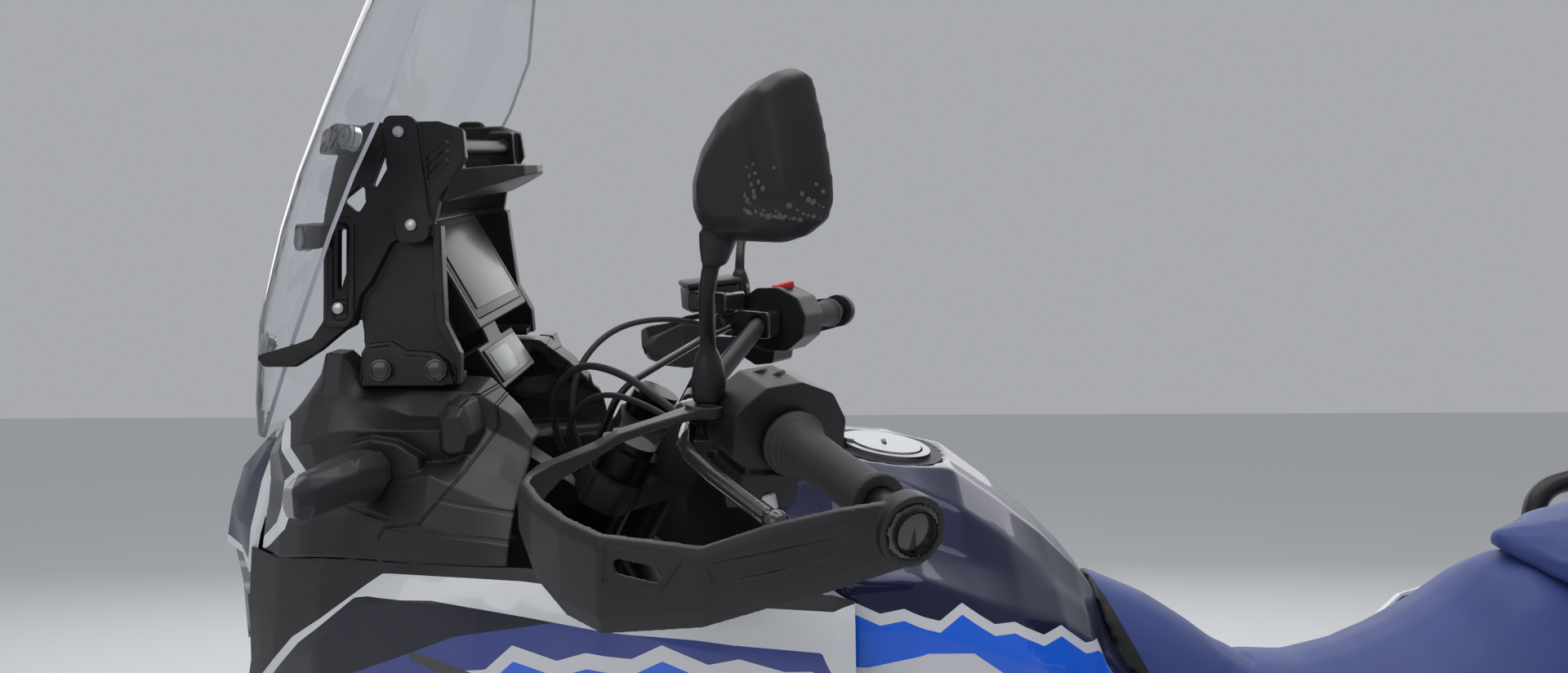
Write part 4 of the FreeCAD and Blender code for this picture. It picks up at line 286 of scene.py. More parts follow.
# The exhaust pipes are stainless steel, straw and blue near the head from the heat, and the
# silencer is brushed along its length. Its end cap is black.
heated = Finish("heated_stainless", Metallic=1.0)
brushing = heated.noise(60, 2.0, 0.5, (8, 1, 8))
rise = heated.upright()[2].share(0.3, 0.72)
straw = heated.mix(rise.share(0.3, 0.7), (0.5, 0.49, 0.47, 1), (0.42, 0.3, 0.17, 1))
heated.set("Base Color", heated.mix(rise.share(0.75, 1.0), straw, (0.16, 0.14, 0.24, 1)))
heated.set("Roughness", brushing * 0.2 + 0.22)
dress(heated, "exhaust")
BARE_STEEL = (0.46, 0.46, 0.47, 1)
brushed = Finish("brushed_stainless")
scratches = brushed.noise(90, 3.0, 0.6, (1, 14, 14))
ahead, across, up = brushed.upright()
cap_end = (ahead + up * 0.1).share(-0.77, -0.765)
brushed.set("Base Color", brushed.mix(cap_end, (0.02, 0.02, 0.022, 1), BARE_STEEL))
brushed.set("Metallic", cap_end)
brushed.set("Roughness", scratches * 0.25 + 0.25)
brushed.bump(scratches, 0.00003)
dress(brushed, "silencer")


# Swingarm, skid plate, front axle and spindles are aluminium: shot-blasted castings and
# extrusions with a pale satin skin.
def blasted(name, colour, roughness):
    finish = Finish(name, Metallic=1.0)
    cloud = finish.noise(14, 4.0, 0.6)
    finish.set("Base Color", finish.mix(cloud.share(0.3, 0.7), colour, shade(colour, 1.25)))
    finish.set("Roughness", cloud * 0.15 + (roughness - 0.07))
    finish.bump(finish.noise(1500, 2.0), 0.00003)
    return finish


aluminium = blasted("blasted_aluminium", (0.42, 0.43, 0.44, 1), 0.42)
dress(aluminium, "swingarm", "skid_plate", "front_axle", "rear_spindles")


# The fork's wide upper tubes are gold anodised aluminium, and the feet that hold the axle are
# black castings. The tubes are turned, with rings too fine to see but for their sheen.
fork = Finish("fork_finish", Metallic=0.9)
ahead, across, up = fork.upright()
gold = (up - ahead * 0.5).share(0.19, 0.2) * (up < 0.9)
fork.set("Base Color", fork.mix(gold, (0.016, 0.016, 0.018, 1), (0.52, 0.33, 0.1, 1)))
fork.set("Roughness", fork.noise(400, 2.0, 0.5, (0.1, 0.1, 1)) * 0.1 + 0.25)
dress(fork, "fork_legs")


# Discs and rear sprocket are hardened steel with a swept grinding pattern. The chain is oiled
# and darker in its joints, and the shock's spring is painted yellow.
ground_steel = Finish("ground_steel", Metallic=1.0)
sweep = ground_steel.noise(260, 2.0, 0.5, (1, 0.2, 1))
ground_steel.set("Base Color", ground_steel.mix(sweep, (0.36, 0.36, 0.37, 1), (0.5, 0.5, 0.51, 1)))
ground_steel.set("Roughness", sweep * 0.2 + 0.22)
ground_steel.bump(sweep, 0.00002)
dress(ground_steel, "front_discs", "rear_disc", "rear_sprocket")
oiled = Finish("oiled_chain", Metallic=0.9)
film = oiled.noise(180, 3.0, 0.6)
oiled.set("Base Color", oiled.mix(film.share(0.4, 0.6), (0.09, 0.075, 0.055, 1), (0.36, 0.33, 0.28, 1)))
oiled.set("Roughness", film * 0.3 + 0.25)
dress(oiled, "drive_chain")
spring_paint = Finish("spring_paint", Roughness=0.3, Coat_Weight=0.6)
turns = spring_paint.noise(40, 2.0)
spring_paint.set("Base Color", spring_paint.mix(turns, (0.5, 0.3, 0.03, 1), (0.6, 0.38, 0.05, 1)))
dress(spring_paint, "rear_shock")


# Wheels: black anodised aluminium rims and hubs laced with polished steel spokes. The finish
# goes from black to bright steel by the distance from the wheel's spindle.
def wheel_finish(name, wheel, hub, rim):
    """Bright spokes between the hub's radius and the rim's, and black inside and outside them."""
    finish = Finish(name)
    low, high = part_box(wheel)
    ahead, across, up = finish.upright()
    centre = STAND.inverted() @ ((low + high) / 2)
    reach = ((ahead - centre.x).math("POWER", 2.0) + (up - centre.z).math("POWER", 2.0)).math("SQRT")
    spokes = reach.share(hub, hub + 0.002) * (1 - reach.share(rim - 0.002, rim))
    finish.set("Base Color", finish.mix(spokes, (0.02, 0.02, 0.022, 1), (0.6, 0.6, 0.61, 1)))
    finish.set("Metallic", spokes * 0.3 + 0.7)
    finish.set("Roughness", finish.noise(30, 2.0) * 0.1 + 0.26)
    return finish


dress(wheel_finish("front_wheel_finish", "front_wheel_rim", hub=0.062, rim=0.243), "front_wheel_rim")
dress(wheel_finish("rear_wheel_finish", "rear_wheel_rim", hub=0.075, rim=0.206), "rear_wheel_rim")


# Tyres: rubber moulded in one, with a row of blocks each side of the middle, wider ones beside
# them and small ones at the shoulder. The grooves between them reach the carcass.
tyre_rubber = grained("tyre_rubber", (0.016, 0.016, 0.017, 1), 0.62, 700, 0.00012)
TREAD_DEPTH = 5.0
BLOCK_SINK = 1.3          # how far a block's foot goes into the carcass
RIM_SHARE = 0.36          # half the rim's width inside its flanges, of the tyre's width
BEAD_RISE = 7.0           # the wall meets the rim this far above the bead
BEAD_FOOT = 2.0           # and its foot ends this far below
BEAD_IN = 4.0             # and this far inside


def mm(x, y, z):
    """A place in the upright machine, given in millimetres."""
    return Vector((x, y, z)) / 1000


def block(size, place, turn, bevel):
    """A bevelled block, turned by so many degrees about x, y and z."""
    bpy.ops.object.select_all(action="DESELECT")
    bpy.ops.mesh.primitive_cube_add(size=1)
    piece = bpy.context.object
    piece.scale = Vector(size) / 1000
    bpy.ops.object.transform_apply(scale=True)
    applied(piece, "BEVEL", width=bevel, segments=3, limit_method="ANGLE", angle_limit=math.radians(30))
    angles = [math.radians(angle) for angle in turn]
    about_x, about_y, about_z = (Matrix.Rotation(angle, 4, axis) for angle, axis in zip(angles, "XYZ"))
    spun = about_z @ about_y @ about_x
    piece.data.transform(Matrix.Translation(mm(*place)) @ spun)
    return piece


def joined_pieces(pieces, name, body, finish, angle=35):
    """Makes one piece of several that are fixed to the same thing."""
    bpy.ops.object.select_all(action="DESELECT")
    for piece in pieces:
        piece.select_set(True)
    bpy.context.view_layer.objects.active = pieces[0]
    bpy.ops.object.join()
    return fitted(pieces[0], name, body, finish, angle=angle)


def tyre(node, body, radius, width, bead, count, rows):
    """A spun carcass with count blocks in each row: its lean, length, width, phase and skew."""
    low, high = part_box(node)
    axle = STAND.inverted() @ ((Vector(low) + Vector(high)) / 2)
    crown = width / 2
    skin = crown - TREAD_DEPTH
    rim_half = RIM_SHARE * width
    middle = radius - crown
    bpy.ops.object.select_all(action="DESELECT")
    bpy.ops.mesh.primitive_circle_add(vertices=40, radius=skin / 1000, rotation=(0, math.pi / 2, 0),
                                      location=axle + mm(0, 0, middle))
    carcass = bpy.context.object
    bpy.ops.object.transform_apply(location=True, rotation=True, scale=True)
    half_wall = [(middle, skin), (bead + BEAD_RISE, rim_half), (bead - BEAD_FOOT, rim_half - BEAD_IN)]
    wall = half_wall + [(r, -y) for r, y in reversed(half_wall)]
    for vertex in carcass.data.vertices:
        angle = math.atan2(vertex.co.z - axle.z - middle / 1000, vertex.co.y - axle.y)
        if -math.pi + 0.01 < angle < -0.01:
            share = -angle / math.pi * 5
            first = min(int(share + 1e-6), 4)
            (r, y), (next_r, next_y) = wall[first], wall[first + 1]
            part = share - first
            vertex.co.z = axle.z + (r + part * (next_r - r)) / 1000
            vertex.co.y = axle.y + (y + part * (next_y - y)) / 1000
    bpy.ops.object.mode_set(mode="EDIT")
    bpy.ops.mesh.select_all(action="SELECT")
    bpy.ops.mesh.spin(steps=120, angle=2 * math.pi, center=axle, axis=(0, 1, 0))
    bpy.ops.mesh.select_all(action="SELECT")
    bpy.ops.mesh.remove_doubles(threshold=0.00005)
    bpy.ops.mesh.normals_make_consistent(inside=False)
    bpy.ops.object.mode_set(mode="OBJECT")
    pieces = [carcass]
    for lean, length, across, phase, skew in rows:
        knob = block((length, across, TREAD_DEPTH), (0, 0, skin + TREAD_DEPTH / 2 - BLOCK_SINK), (0, 0, skew),
                     0.0012)
        turn = Matrix.Rotation(math.radians(-lean), 4, "X")
        roll = Matrix.Rotation(2 * math.pi * phase / count, 4, "Y")
        knob.data.transform(Matrix.Translation(axle) @ roll @ Matrix.Translation(mm(0, 0, middle)) @ turn)
        active(knob)
        bpy.ops.object.mode_set(mode="EDIT")
        bpy.ops.mesh.select_all(action="SELECT")
        bpy.ops.mesh.spin(steps=count - 1, dupli=True, angle=2 * math.pi * (count - 1) / count, center=axle,
                          axis=(0, 1, 0))
        bpy.ops.object.mode_set(mode="OBJECT")
        pieces.append(knob)
    piece = joined_pieces(pieces, node + "_tread", body, tyre_rubber, 30)
    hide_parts(node)


tyre("front_tyre", "front_wheel", radius=347.5, width=92, bead=267, count=46,
     rows=[(12, 34, 15, 0, 14), (-12, 34, 15, 0.5, -14), (39, 30, 14, 0.25, -10), (-39, 30, 14, 0.75, 10),
           (64, 20, 10, 0.5, 0), (-64, 20, 10, 0, 0)])
tyre("rear_tyre", "rear_wheel", radius=334, width=150, bead=229, count=44,
     rows=[(11, 36, 24, 0, 14), (-11, 36, 24, 0.5, -14), (37, 33, 25, 0.25, -10), (-37, 33, 25, 0.75, 10),
           (62, 24, 16, 0.5, 0), (-62, 24, 16, 0, 0)])


# The fuel tank is pressed steel in navy metallic paint under clear coat. A printed film on its
# sides has a white zigzag with bright blue below it, and white at the foot.
NAVY = (0.006, 0.008, 0.045, 1)
NAVY_FLAKE = (0.017, 0.018, 0.065, 1)
GLOSS_BLUE = (0.012, 0.035, 0.26, 1)
BRIGHT_BLUE = (0.0, 0.13, 0.85, 1)
WHITE = (0.72, 0.73, 0.76, 1)
BLACK = (0.022, 0.022, 0.024, 1)
DARK_GREY = (0.017, 0.017, 0.019, 1)


TOOTH_PLACE = 0.6         # how far along its span a tooth stands
TOOTH_SHARES = (1.3, 0.6, 1.0, 0.5)


def zigzag(points, height):
    """A line with a tooth in each span between points, of that height times one of four shares."""
    teeth = [points[0]]
    for number, ((x, z), (next_x, next_z)) in enumerate(zip(points, points[1:])):
        tall = height * TOOTH_SHARES[number % len(TOOTH_SHARES)]
        teeth.append((x + TOOTH_PLACE * (next_x - x), z + TOOTH_PLACE * (next_z - z) + tall))
        teeth.append((next_x, next_z))
    return teeth


tank_paint = Finish("tank_paint", Coat_Weight=0.55, Coat_Roughness=0.03, Specular_IOR_Level=0.3)
ahead, across, up = tank_paint.upright()
side = across.math("ABSOLUTE").share(0.098, 0.1)
teeth_line = tank_paint.line(ahead, zigzag([(-130, 820), (-95, 868), (-50, 905), (0, 934), (50, 958),
                                            (100, 970), (150, 976), (230, 984)], 12))
panel_line = tank_paint.line(ahead, [(-140, 790), (-100, 826), (-50, 868), (10, 905), (40, 914), (70, 940),
                                     (110, 944), (160, 930), (230, 930)])
film = side * (up < teeth_line)
blue_film = side * (up < teeth_line - 0.009)
white_panel = side * (up < panel_line)
flakes = tank_paint.noise(2400, 2.0)
metallic = tank_paint.mix(flakes.share(0.35, 0.7), NAVY, NAVY_FLAKE)
colour = tank_paint.mix(film, metallic, WHITE)
colour = tank_paint.mix(blue_film, colour, BRIGHT_BLUE)
tank_paint.set("Base Color", tank_paint.mix(white_panel, colour, WHITE))
tank_paint.set("Metallic", (1 - film) * 0.55)
tank_paint.set("Roughness", flakes * 0.06 + 0.3)
moulded("fuel_tank", "chassis", tank_paint, 0.003, 16, 0.5)


# The filler: a satin silver collar in a black rubber seat, and the cap's lid with its lock.
satin = Finish("satin_silver", Metallic=0.9, Base_Color=(0.36, 0.37, 0.39, 1))
satin.set("Roughness", satin.noise(500, 2.0) * 0.12 + 0.24)
dress(satin, "fuel_cap")
ring_finish = Finish("filler_seat")
ahead, across, up = ring_finish.upright()
from_cap = (ahead - 0.128) * 1.01
outer = (from_cap * from_cap + across * across).math("SQRT").share(0.0466, 0.047)
ring_finish.set("Base Color", ring_finish.mix(outer, (0.34, 0.35, 0.37, 1), (0.012, 0.012, 0.013, 1)))
ring_finish.set("Metallic", (1 - outer) * 0.9)
ring_finish.set("Roughness", outer * 0.2 + 0.3)
dress(ring_finish, "filler_ring")


def blocks(name, body, slot, finish, *rows):
    """One piece of several blocks: each row gives a size, a place, a turn and a bevel."""
    joined_pieces([block(*row) for row in rows], name, body, finish)


blocks("cap_lock", "fuel_cap", "black_metal", powder_coat,
       ((5, 15, 2), (129, 0, 1065.6), (0, 8.5, 0), 0.0007))


# Side fairings: black grained plastic above, a white band along the edge, navy and glossy blue
# below it with a white zigzag film, and a vent painted black: painted shade in its opening.
def crisp(node, finish):
    """A merged copy of a CAD node with its edges left as they are, that stands for it."""
    piece = node_copy(node)
    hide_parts(node)
    fitted(piece, node + "_piece", "chassis", finish, lean=False, angle=30)


fairing_paint = Finish("fairing_paint", Coat_Roughness=0.04)
ahead, across, up = fairing_paint.upright()
band_top = fairing_paint.line(ahead, [(172, 990), (190, 990), (270, 1002), (370, 1017), (438, 1023),
                                      (536, 1024), (556, 1022), (568, 1014), (646, 956), (665, 935),
                                      (720, 872)])
band_low = fairing_paint.line(ahead, [(172, 900), (200, 962), (300, 980), (426, 997), (511, 1007),
                                      (567, 1006), (580, 1002), (636, 956), (655, 935), (710, 868)])
navy_low = fairing_paint.line(ahead, [(180, 1000), (409, 995), (495, 977), (584, 939), (650, 895),
                                      (712, 850)])
jagged = fairing_paint.line(ahead, zigzag([(172, 900), (230, 950), (290, 960), (350, 966), (410, 962),
                                           (470, 950), (530, 930), (590, 895), (650, 850), (712, 800)], 14))
inner_line = fairing_paint.line(ahead, [(172, 880), (300, 925), (404, 950), (450, 930), (560, 860),
                                        (712, 740)])
belly = fairing_paint.line(ahead, [(172, 760), (300, 700), (438, 760), (560, 820), (712, 900)])
grain = fairing_paint.noise(2600, 2.0)
black_top = up > band_top
band = up > band_low
wedge = up > navy_low
blue_area = up > jagged
white_edge = up > jagged - 0.014
# The vent is painted black on the solid panel: painted shade standing in for its opening.
vent_shade = (ahead > 0.462) * (ahead < 0.532) * (up > (ahead * 0.45 + 0.716)) * (up < (ahead * 0.35 + 0.778))
colour = fairing_paint.mix(up > inner_line, WHITE, BRIGHT_BLUE)
colour = fairing_paint.mix(up < belly, colour, BLACK)
colour = fairing_paint.mix(white_edge, colour, WHITE)
colour = fairing_paint.mix(blue_area, colour, GLOSS_BLUE)
colour = fairing_paint.mix(wedge, colour, (0.007, 0.008, 0.022, 1))
colour = fairing_paint.mix(vent_shade * (1 - wedge), colour, BLACK)
colour = fairing_paint.mix(band, colour, WHITE)
facing = fairing_paint.node("ShaderNodeNewGeometry", output=1)
sideways = fairing_paint.node("ShaderNodeSeparateXYZ", {}, {0: facing}, output=1)
bare = black_top.math("MAXIMUM", sideways * across < -0.03)
fairing_paint.set("Base Color", fairing_paint.mix(bare, colour, DARK_GREY))
fairing_paint.set("Coat Weight", (1 - black_top) * (1 - wedge * (1 - band) * 0.85))
fairing_paint.set("Roughness", black_top * 0.22 + 0.3)
fairing_paint.bump(grain * black_top, 0.00006)
crisp("side_fairings", fairing_paint)


# The nose between lamp and screen is painted navy under clear coat, with white strips along
# its corners, top and foot.
nose_paint = Finish("nose_paint", Coat_Weight=0.4, Coat_Roughness=0.03, Roughness=0.4, Specular_IOR_Level=0.3)
ahead, across, up = nose_paint.upright()
corner = nose_paint.line(up, [(984, 142), (1020, 140), (1060, 124), (1085, 106), (1106, 88)])
strip = (across.math("ABSOLUTE") > corner - 0.012).math("MAXIMUM", up > 1.094)
strip = strip.math("MAXIMUM", up < 0.992)
nose_paint.set("Base Color", nose_paint.mix(strip, (0.012, 0.013, 0.05, 1), WHITE))
crisp("nose_panel", nose_paint)


# Cowls, hugger and tail are unpainted dark grey polypropylene with the mould's even grain,
# and the cowls' front is painted. The rear covers are white, the front fender metallic navy.
grey_plastic = grained("grained_grey_plastic", DARK_GREY, 0.42)
cowl_paint = Finish("cowl_finish", Specular_IOR_Level=0.45, Coat_Roughness=0.03)
ahead, across, up = cowl_paint.upright()
front_line = cowl_paint.line(up, [(1001, 707), (1018, 684), (1039, 661), (1076, 652), (1087, 638),
                                  (1127, 661), (1140, 690)])
strip = ahead > front_line
film = ahead > front_line + 0.015
# The panel gap's line is a groove in the bump, and it is also painted near black: painted shade in the gap.
shaded_panel_gap = cowl_paint.groove(ahead, up, [(502, 1149), (484, 1148), (480, 1122), (495, 1097), (525, 1063),
                                          (553, 1060), (560, 1049)], 0.0014)
crease = cowl_paint.groove(ahead, up, [(553, 1060), (470, 1051), (440, 1046)], 0.0022)
crease = crease.math("MAXIMUM", cowl_paint.groove(ahead, up, [(525, 1063), (600, 1071), (640, 1050)], 0.002))
crease = crease.math("MAXIMUM", cowl_paint.groove(ahead, up, [(510, 1080), (450, 1066)], 0.002))
cloud = cowl_paint.noise(9, 3.0)
colour = cowl_paint.mix(cloud.share(0.35, 0.65), (0.014, 0.014, 0.016, 1), (0.019, 0.019, 0.021, 1))
colour = cowl_paint.mix(shaded_panel_gap, colour, (0.002, 0.002, 0.002, 1))
colour = cowl_paint.mix(strip, colour, WHITE)
cowl_paint.set("Base Color", cowl_paint.mix(film, colour, (0.007, 0.008, 0.03, 1)))
cowl_paint.set("Roughness", cloud * 0.1 + 0.36)
cowl_paint.set("Coat Weight", film * 0.5)
cowl_paint.bump(cowl_paint.noise(2600, 2.0) * (1 - strip) * 0.03 - crease - shaded_panel_gap * 2.0, 0.0009)
moulded("cowls", "chassis", cowl_paint, 0.0012, 2, 0.2)
moulded("rear_hugger", "chassis", grey_plastic, 0.002, 5, 0.25)
moulded("rear_fender", "chassis", grey_plastic, 0.002, 4, 0.25)

cover_paint = Finish("cover_paint", Roughness=0.36)
ahead, across, up = cover_paint.upright()
cover_line = cover_paint.line(ahead, [(-850, 880), (-700, 864), (-562, 846), (-494, 822), (-460, 786),
                                      (-430, 750), (-92, 770)])
cover_paint.set("Base Color", cover_paint.mix((up > cover_line) * (ahead < -0.44), DARK_GREY, WHITE))
crisp("rear_side_covers", cover_paint)

fender_paint = Finish("fender_paint", Coat_Weight=1.0, Coat_Roughness=0.03, Metallic=0.5, Roughness=0.32)
fender_flakes = fender_paint.noise(2400, 2.0)
fender_paint.set("Base Color", fender_paint.mix(fender_flakes.share(0.35, 0.7), NAVY, NAVY_FLAKE))
moulded("front_fender", "steering", fender_paint, 0.002, 6, 0.25)


# The seats are foam under blue vinyl, heat-pressed at the edges, with dark grey side panels
# on the rider's. The foam is blown up a little inside its cover, and the cover is grained.
PUFF_STEPS = 20
COVER_STIFFNESS = 40
FOAM_PRESSURE = 4


def seat(node, name, finish, cell, most):
    """A closed cushion blown up as cloth, where it isn't held below, by no more than most."""
    piece = node_copy(node)
    applied(piece, "REMESH", mode="VOXEL", voxel_size=cell)
    applied(piece, "SMOOTH", factor=0.5, iterations=10)
    rest = [vertex.co.copy() for vertex in piece.data.vertices]
    held = [vertex.normal.z < -0.2 for vertex in piece.data.vertices]
    active(piece)
    cloth = piece.modifiers.new("cover", "CLOTH")
    cloth.settings.quality = 4
    cloth.settings.tension_stiffness = COVER_STIFFNESS
    cloth.settings.compression_stiffness = COVER_STIFFNESS
    cloth.settings.use_pressure = True
    cloth.settings.uniform_pressure_force = FOAM_PRESSURE
    cloth.settings.effector_weights.gravity = 0
    for step in range(1, PUFF_STEPS + 1):
        bpy.context.scene.frame_set(step)
    puffed = piece.evaluated_get(bpy.context.evaluated_depsgraph_get()).data
    places = [vertex.co.copy() for vertex in puffed.vertices]
    piece.modifiers.remove(cloth)
    bpy.context.scene.frame_set(1)
    for vertex, start, end, fixed in zip(piece.data.vertices, rest, places, held):
        move = end - start
        if fixed:
            move = Vector()
        vertex.co = start + move * min(1.0, most / max(move.length, 1e-6))
    applied(piece, "SMOOTH", factor=0.5, iterations=4)
    applied(piece, "SUBSURF", levels=1, render_levels=1)
    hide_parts(node)
    fitted(piece, name, "chassis", finish, lean=False, angle=80)


def vinyl(name, colour):
    """Grained vinyl without its base colour, and the colour's own slow variation."""
    finish = Finish(name, Specular_IOR_Level=0.45, Sheen_Weight=0.15, Sheen_Roughness=0.4)
    cloud = finish.noise(7, 3.0)
    finish.set("Roughness", cloud * 0.08 + 0.5)
    leather = finish.node("ShaderNodeTexVoronoi", {"feature": "DISTANCE_TO_EDGE"},
                          {"Vector": finish.places, "Scale": 900.0})
    finish.bump(leather + finish.noise(60, 3.0) * 0.4, 0.00009)
    return finish, finish.mix(cloud.share(0.3, 0.7), shade(colour, 0.82), colour)


SEAT_BLUE = (0.035, 0.062, 0.235, 1)
rider_vinyl, blue = vinyl("rider_seat_vinyl", SEAT_BLUE)
ahead, across, up = rider_vinyl.upright()
trim_line = rider_vinyl.line(ahead, [(-560, 830), (-400, 765), (-260, 766), (-215, 795), (-170, 828),
                                     (-145, 845), (-118, 854), (-100, 868), (-80, 905)])
# The seat's front, down in the gap behind the side fairing, is painted near black: painted shade in the gap.
shaded_front_line = rider_vinyl.line(up, [(840, -134), (870, -117), (912, -94), (928, -82), (973, -59), (990, -50)])
vinyl_colour = rider_vinyl.mix(up > trim_line, (0.022, 0.023, 0.026, 1), blue)
rider_vinyl.set("Base Color", rider_vinyl.mix(ahead > shaded_front_line, vinyl_colour, (0.008, 0.008, 0.009, 1)))
seat("rider_seat", "rider_seat_cover", rider_vinyl, 0.005, 0.006)
pillion_vinyl, blue = vinyl("pillion_seat_vinyl", SEAT_BLUE)
pillion_vinyl.set("Base Color", blue)
seat("pillion_seat", "pillion_seat_cover", pillion_vinyl, 0.004, 0.004)


# The carrier and grab rail are cast aluminium under black paint, the lamps have clear or
# coloured lenses over a bright reflector.
dress(powder_coat, "rear_carrier")
red_lens = Finish("red_lens", Coat_Weight=1.0, Coat_Roughness=0.05)
ribs = red_lens.noise(500, 1.0, 0.5, (1, 0.1, 1))
red_lens.set("Base Color", red_lens.mix(ribs, (0.25, 0.004, 0.004, 1), (0.4, 0.01, 0.008, 1)))
red_lens.set("Roughness", ribs * 0.1 + 0.12)
dress(red_lens, "tail_light")
lamp_bowl = Finish("lamp_bowl", Coat_Weight=1.0, Coat_Roughness=0.04, Metallic=0.3)
ahead, across, up = lamp_bowl.upright()
# The bowl is painted dark with pale bands across its flutes: painted reflection of the light in a bright
# reflector.
reflected_bands = (up * 260 + ahead * 60).math("SINE").share(0.3, 1.0)
lamp_bowl.set("Base Color", lamp_bowl.mix(reflected_bands, (0.03, 0.032, 0.036, 1), (0.34, 0.36, 0.4, 1)))
lamp_bowl.set("Roughness", lamp_bowl.noise(120, 2.0) * 0.1 + 0.15)
dress(lamp_bowl, "headlight")
pod_plastic = Finish("pod_plastic", Coat_Weight=0.3)
ahead, across, up = pod_plastic.upright()
lens = (ahead > across.math("ABSOLUTE") * -0.12 + 0.622) * (across.math("ABSOLUTE") > 0.24)
pod_plastic.set("Base Color", pod_plastic.mix(lens, (0.03, 0.03, 0.033, 1), (0.3, 0.3, 0.32, 1)))
pod_plastic.set("Roughness", 0.42 - lens * 0.3)
moulded("front_indicators", "chassis", pod_plastic, 0.0016, 6, 0.7)
moulded("rear_indicators", "chassis", pod_plastic, 0.0016, 6, 0.7)


# The screen is a tall sheet of clear polycarbonate, 4 mm thick, with polished edges that look
# pale lavender. It is held by six cup-headed fasteners in rubber.
glass = Finish("clear_polycarbonate", Base_Color=(0.96, 0.97, 1, 1), Transmission_Weight=1.0, IOR=1.3)
glass.set("Roughness", glass.noise(3, 2.0) * 0.01)
polished_edge = Finish("polished_edge", Base_Color=(0.62, 0.62, 0.72, 1), Transmission_Weight=0.35, IOR=1.45)
polished_edge.set("Roughness", polished_edge.noise(60, 2.0) * 0.1 + 0.1)
SHORT_EDGE = 0.0045       # just over the sheet's thickness: such an edge lies on its rim
screen = node_copy("windscreen")
rim_faces = set()
for face in screen.data.polygons:
    corners = [screen.data.vertices[i].co for i in face.vertices]
    for start, end in zip(corners, corners[1:] + corners[:1]):
        step = end - start
        if step.length < SHORT_EDGE and abs(step.x) > 0.9 * step.length:
            rim_faces.add(face.index)
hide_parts("windscreen")
fitted(screen, "screen_sheet", "chassis", glass, lean=False, angle=30)
screen.data.materials.append(polished_edge.material)
for face in screen.data.polygons:
    face.material_index = int(face.index in rim_faces)


# Screen towers, visor and display housing are glass-filled nylon, satin black, with edges
# just broken. The towers' slots hold the screen's height setting.
satin_plastic = grained("satin_black_plastic", (0.012, 0.012, 0.013, 1), 0.38, 1900, 0.00005)
moulded("screen_towers", "chassis", satin_plastic, 0.0011, 1, 0.24)
moulded("display", "chassis", satin_plastic, 0.0013, 2, 0.25)


# The display's glass: a dark coated sheet in a grey bezel, switched off, with a small
# monochrome display below it in its own housing.
def tile(size, place, tilt, offset, bevel):
    """A thin block whose face is tilted back towards the rider, moved by offset along its own axes."""
    moved = Matrix.Rotation(math.radians(tilt), 4, "Y") @ Vector(offset)
    return block(size, Vector(place) + moved, (0, tilt, 0), bevel)


UPPER_DISPLAY, UPPER_TILT = (536, 0, 1250), 28
LOWER_DISPLAY, LOWER_TILT = (508, 0, 1156), 32
dark_glass = Finish("display_glass", Coat_Weight=0.25, Coat_Roughness=0.15)
smear = dark_glass.noise(22, 3.0)
dark_glass.set("Base Color", dark_glass.mix(smear, (0.02, 0.021, 0.024, 1), (0.035, 0.036, 0.04, 1)))
dark_glass.set("Roughness", smear * 0.1 + 0.3)
bezel = grained("display_bezel", (0.06, 0.061, 0.066, 1), 0.4)
frame_tile = tile((2.4, 163, 99), UPPER_DISPLAY, UPPER_TILT, (1.2, 0, 0), 0.001)
fitted(frame_tile, "display_bezel", "chassis", bezel)
glass_tile = tile((1.6, 146, 84), UPPER_DISPLAY, UPPER_TILT, (-0.6, 0, 1), 0.0006)
fitted(glass_tile, "display_glass", "chassis", dark_glass)
lower_tile = tile((2, 116, 36), LOWER_DISPLAY, LOWER_TILT, (-0.8, 0, 0), 0.0008)
fitted(lower_tile, "lower_display_glass", "chassis", dark_glass)
segment_grey = Finish("segment_display", Roughness=0.25)
segment_grey.set("Base Color", segment_grey.mix(segment_grey.noise(30, 2.0), (0.17, 0.2, 0.18, 1),
                                                (0.2, 0.24, 0.21, 1)))
segment_tile = tile((1, 62, 26), LOWER_DISPLAY, LOWER_TILT, (-1.8, 18, 0), 0.0003)
fitted(segment_tile, "segment_display", "chassis", segment_grey)


# Handlebar: a tapered aluminium tube, coated black. The grips are matte moulded rubber, with
# small dots all over and ribs near the flange.
dress(powder_coat, "handlebar")
bar_start = mm(262, 215, 1152)
bar_along = mm(-108.5, 237, -17.2).normalized()
grip_rubber = Finish("grip_rubber", Specular_IOR_Level=0.35)
ahead, across, up = grip_rubber.upright()
along = (ahead - bar_start.x) * bar_along.x + (across.math("ABSOLUTE") - bar_start.y) * bar_along.y
along = along + (up - bar_start.z) * bar_along.z
ribbed = along.share(0.097, 0.099) * (1 - along.share(0.118, 0.12))
rib = (along * 1100).math("SINE") * ribbed
dots = grip_rubber.node("ShaderNodeTexVoronoi", {}, {"Vector": grip_rubber.places, "Scale": 420.0})
grip_rubber.set("Base Color", grip_rubber.mix(grip_rubber.noise(12, 2.0), (0.03, 0.03, 0.031, 1),
                                              (0.045, 0.045, 0.047, 1)))
grip_rubber.set("Roughness", grip_rubber.noise(40, 2.0) * 0.12 + 0.56)
grip_rubber.bump(rib * 0.5 + dots * 0.3, 0.0006)
moulded("grips", "steering", grip_rubber, 0.0013, 3, 0.35)


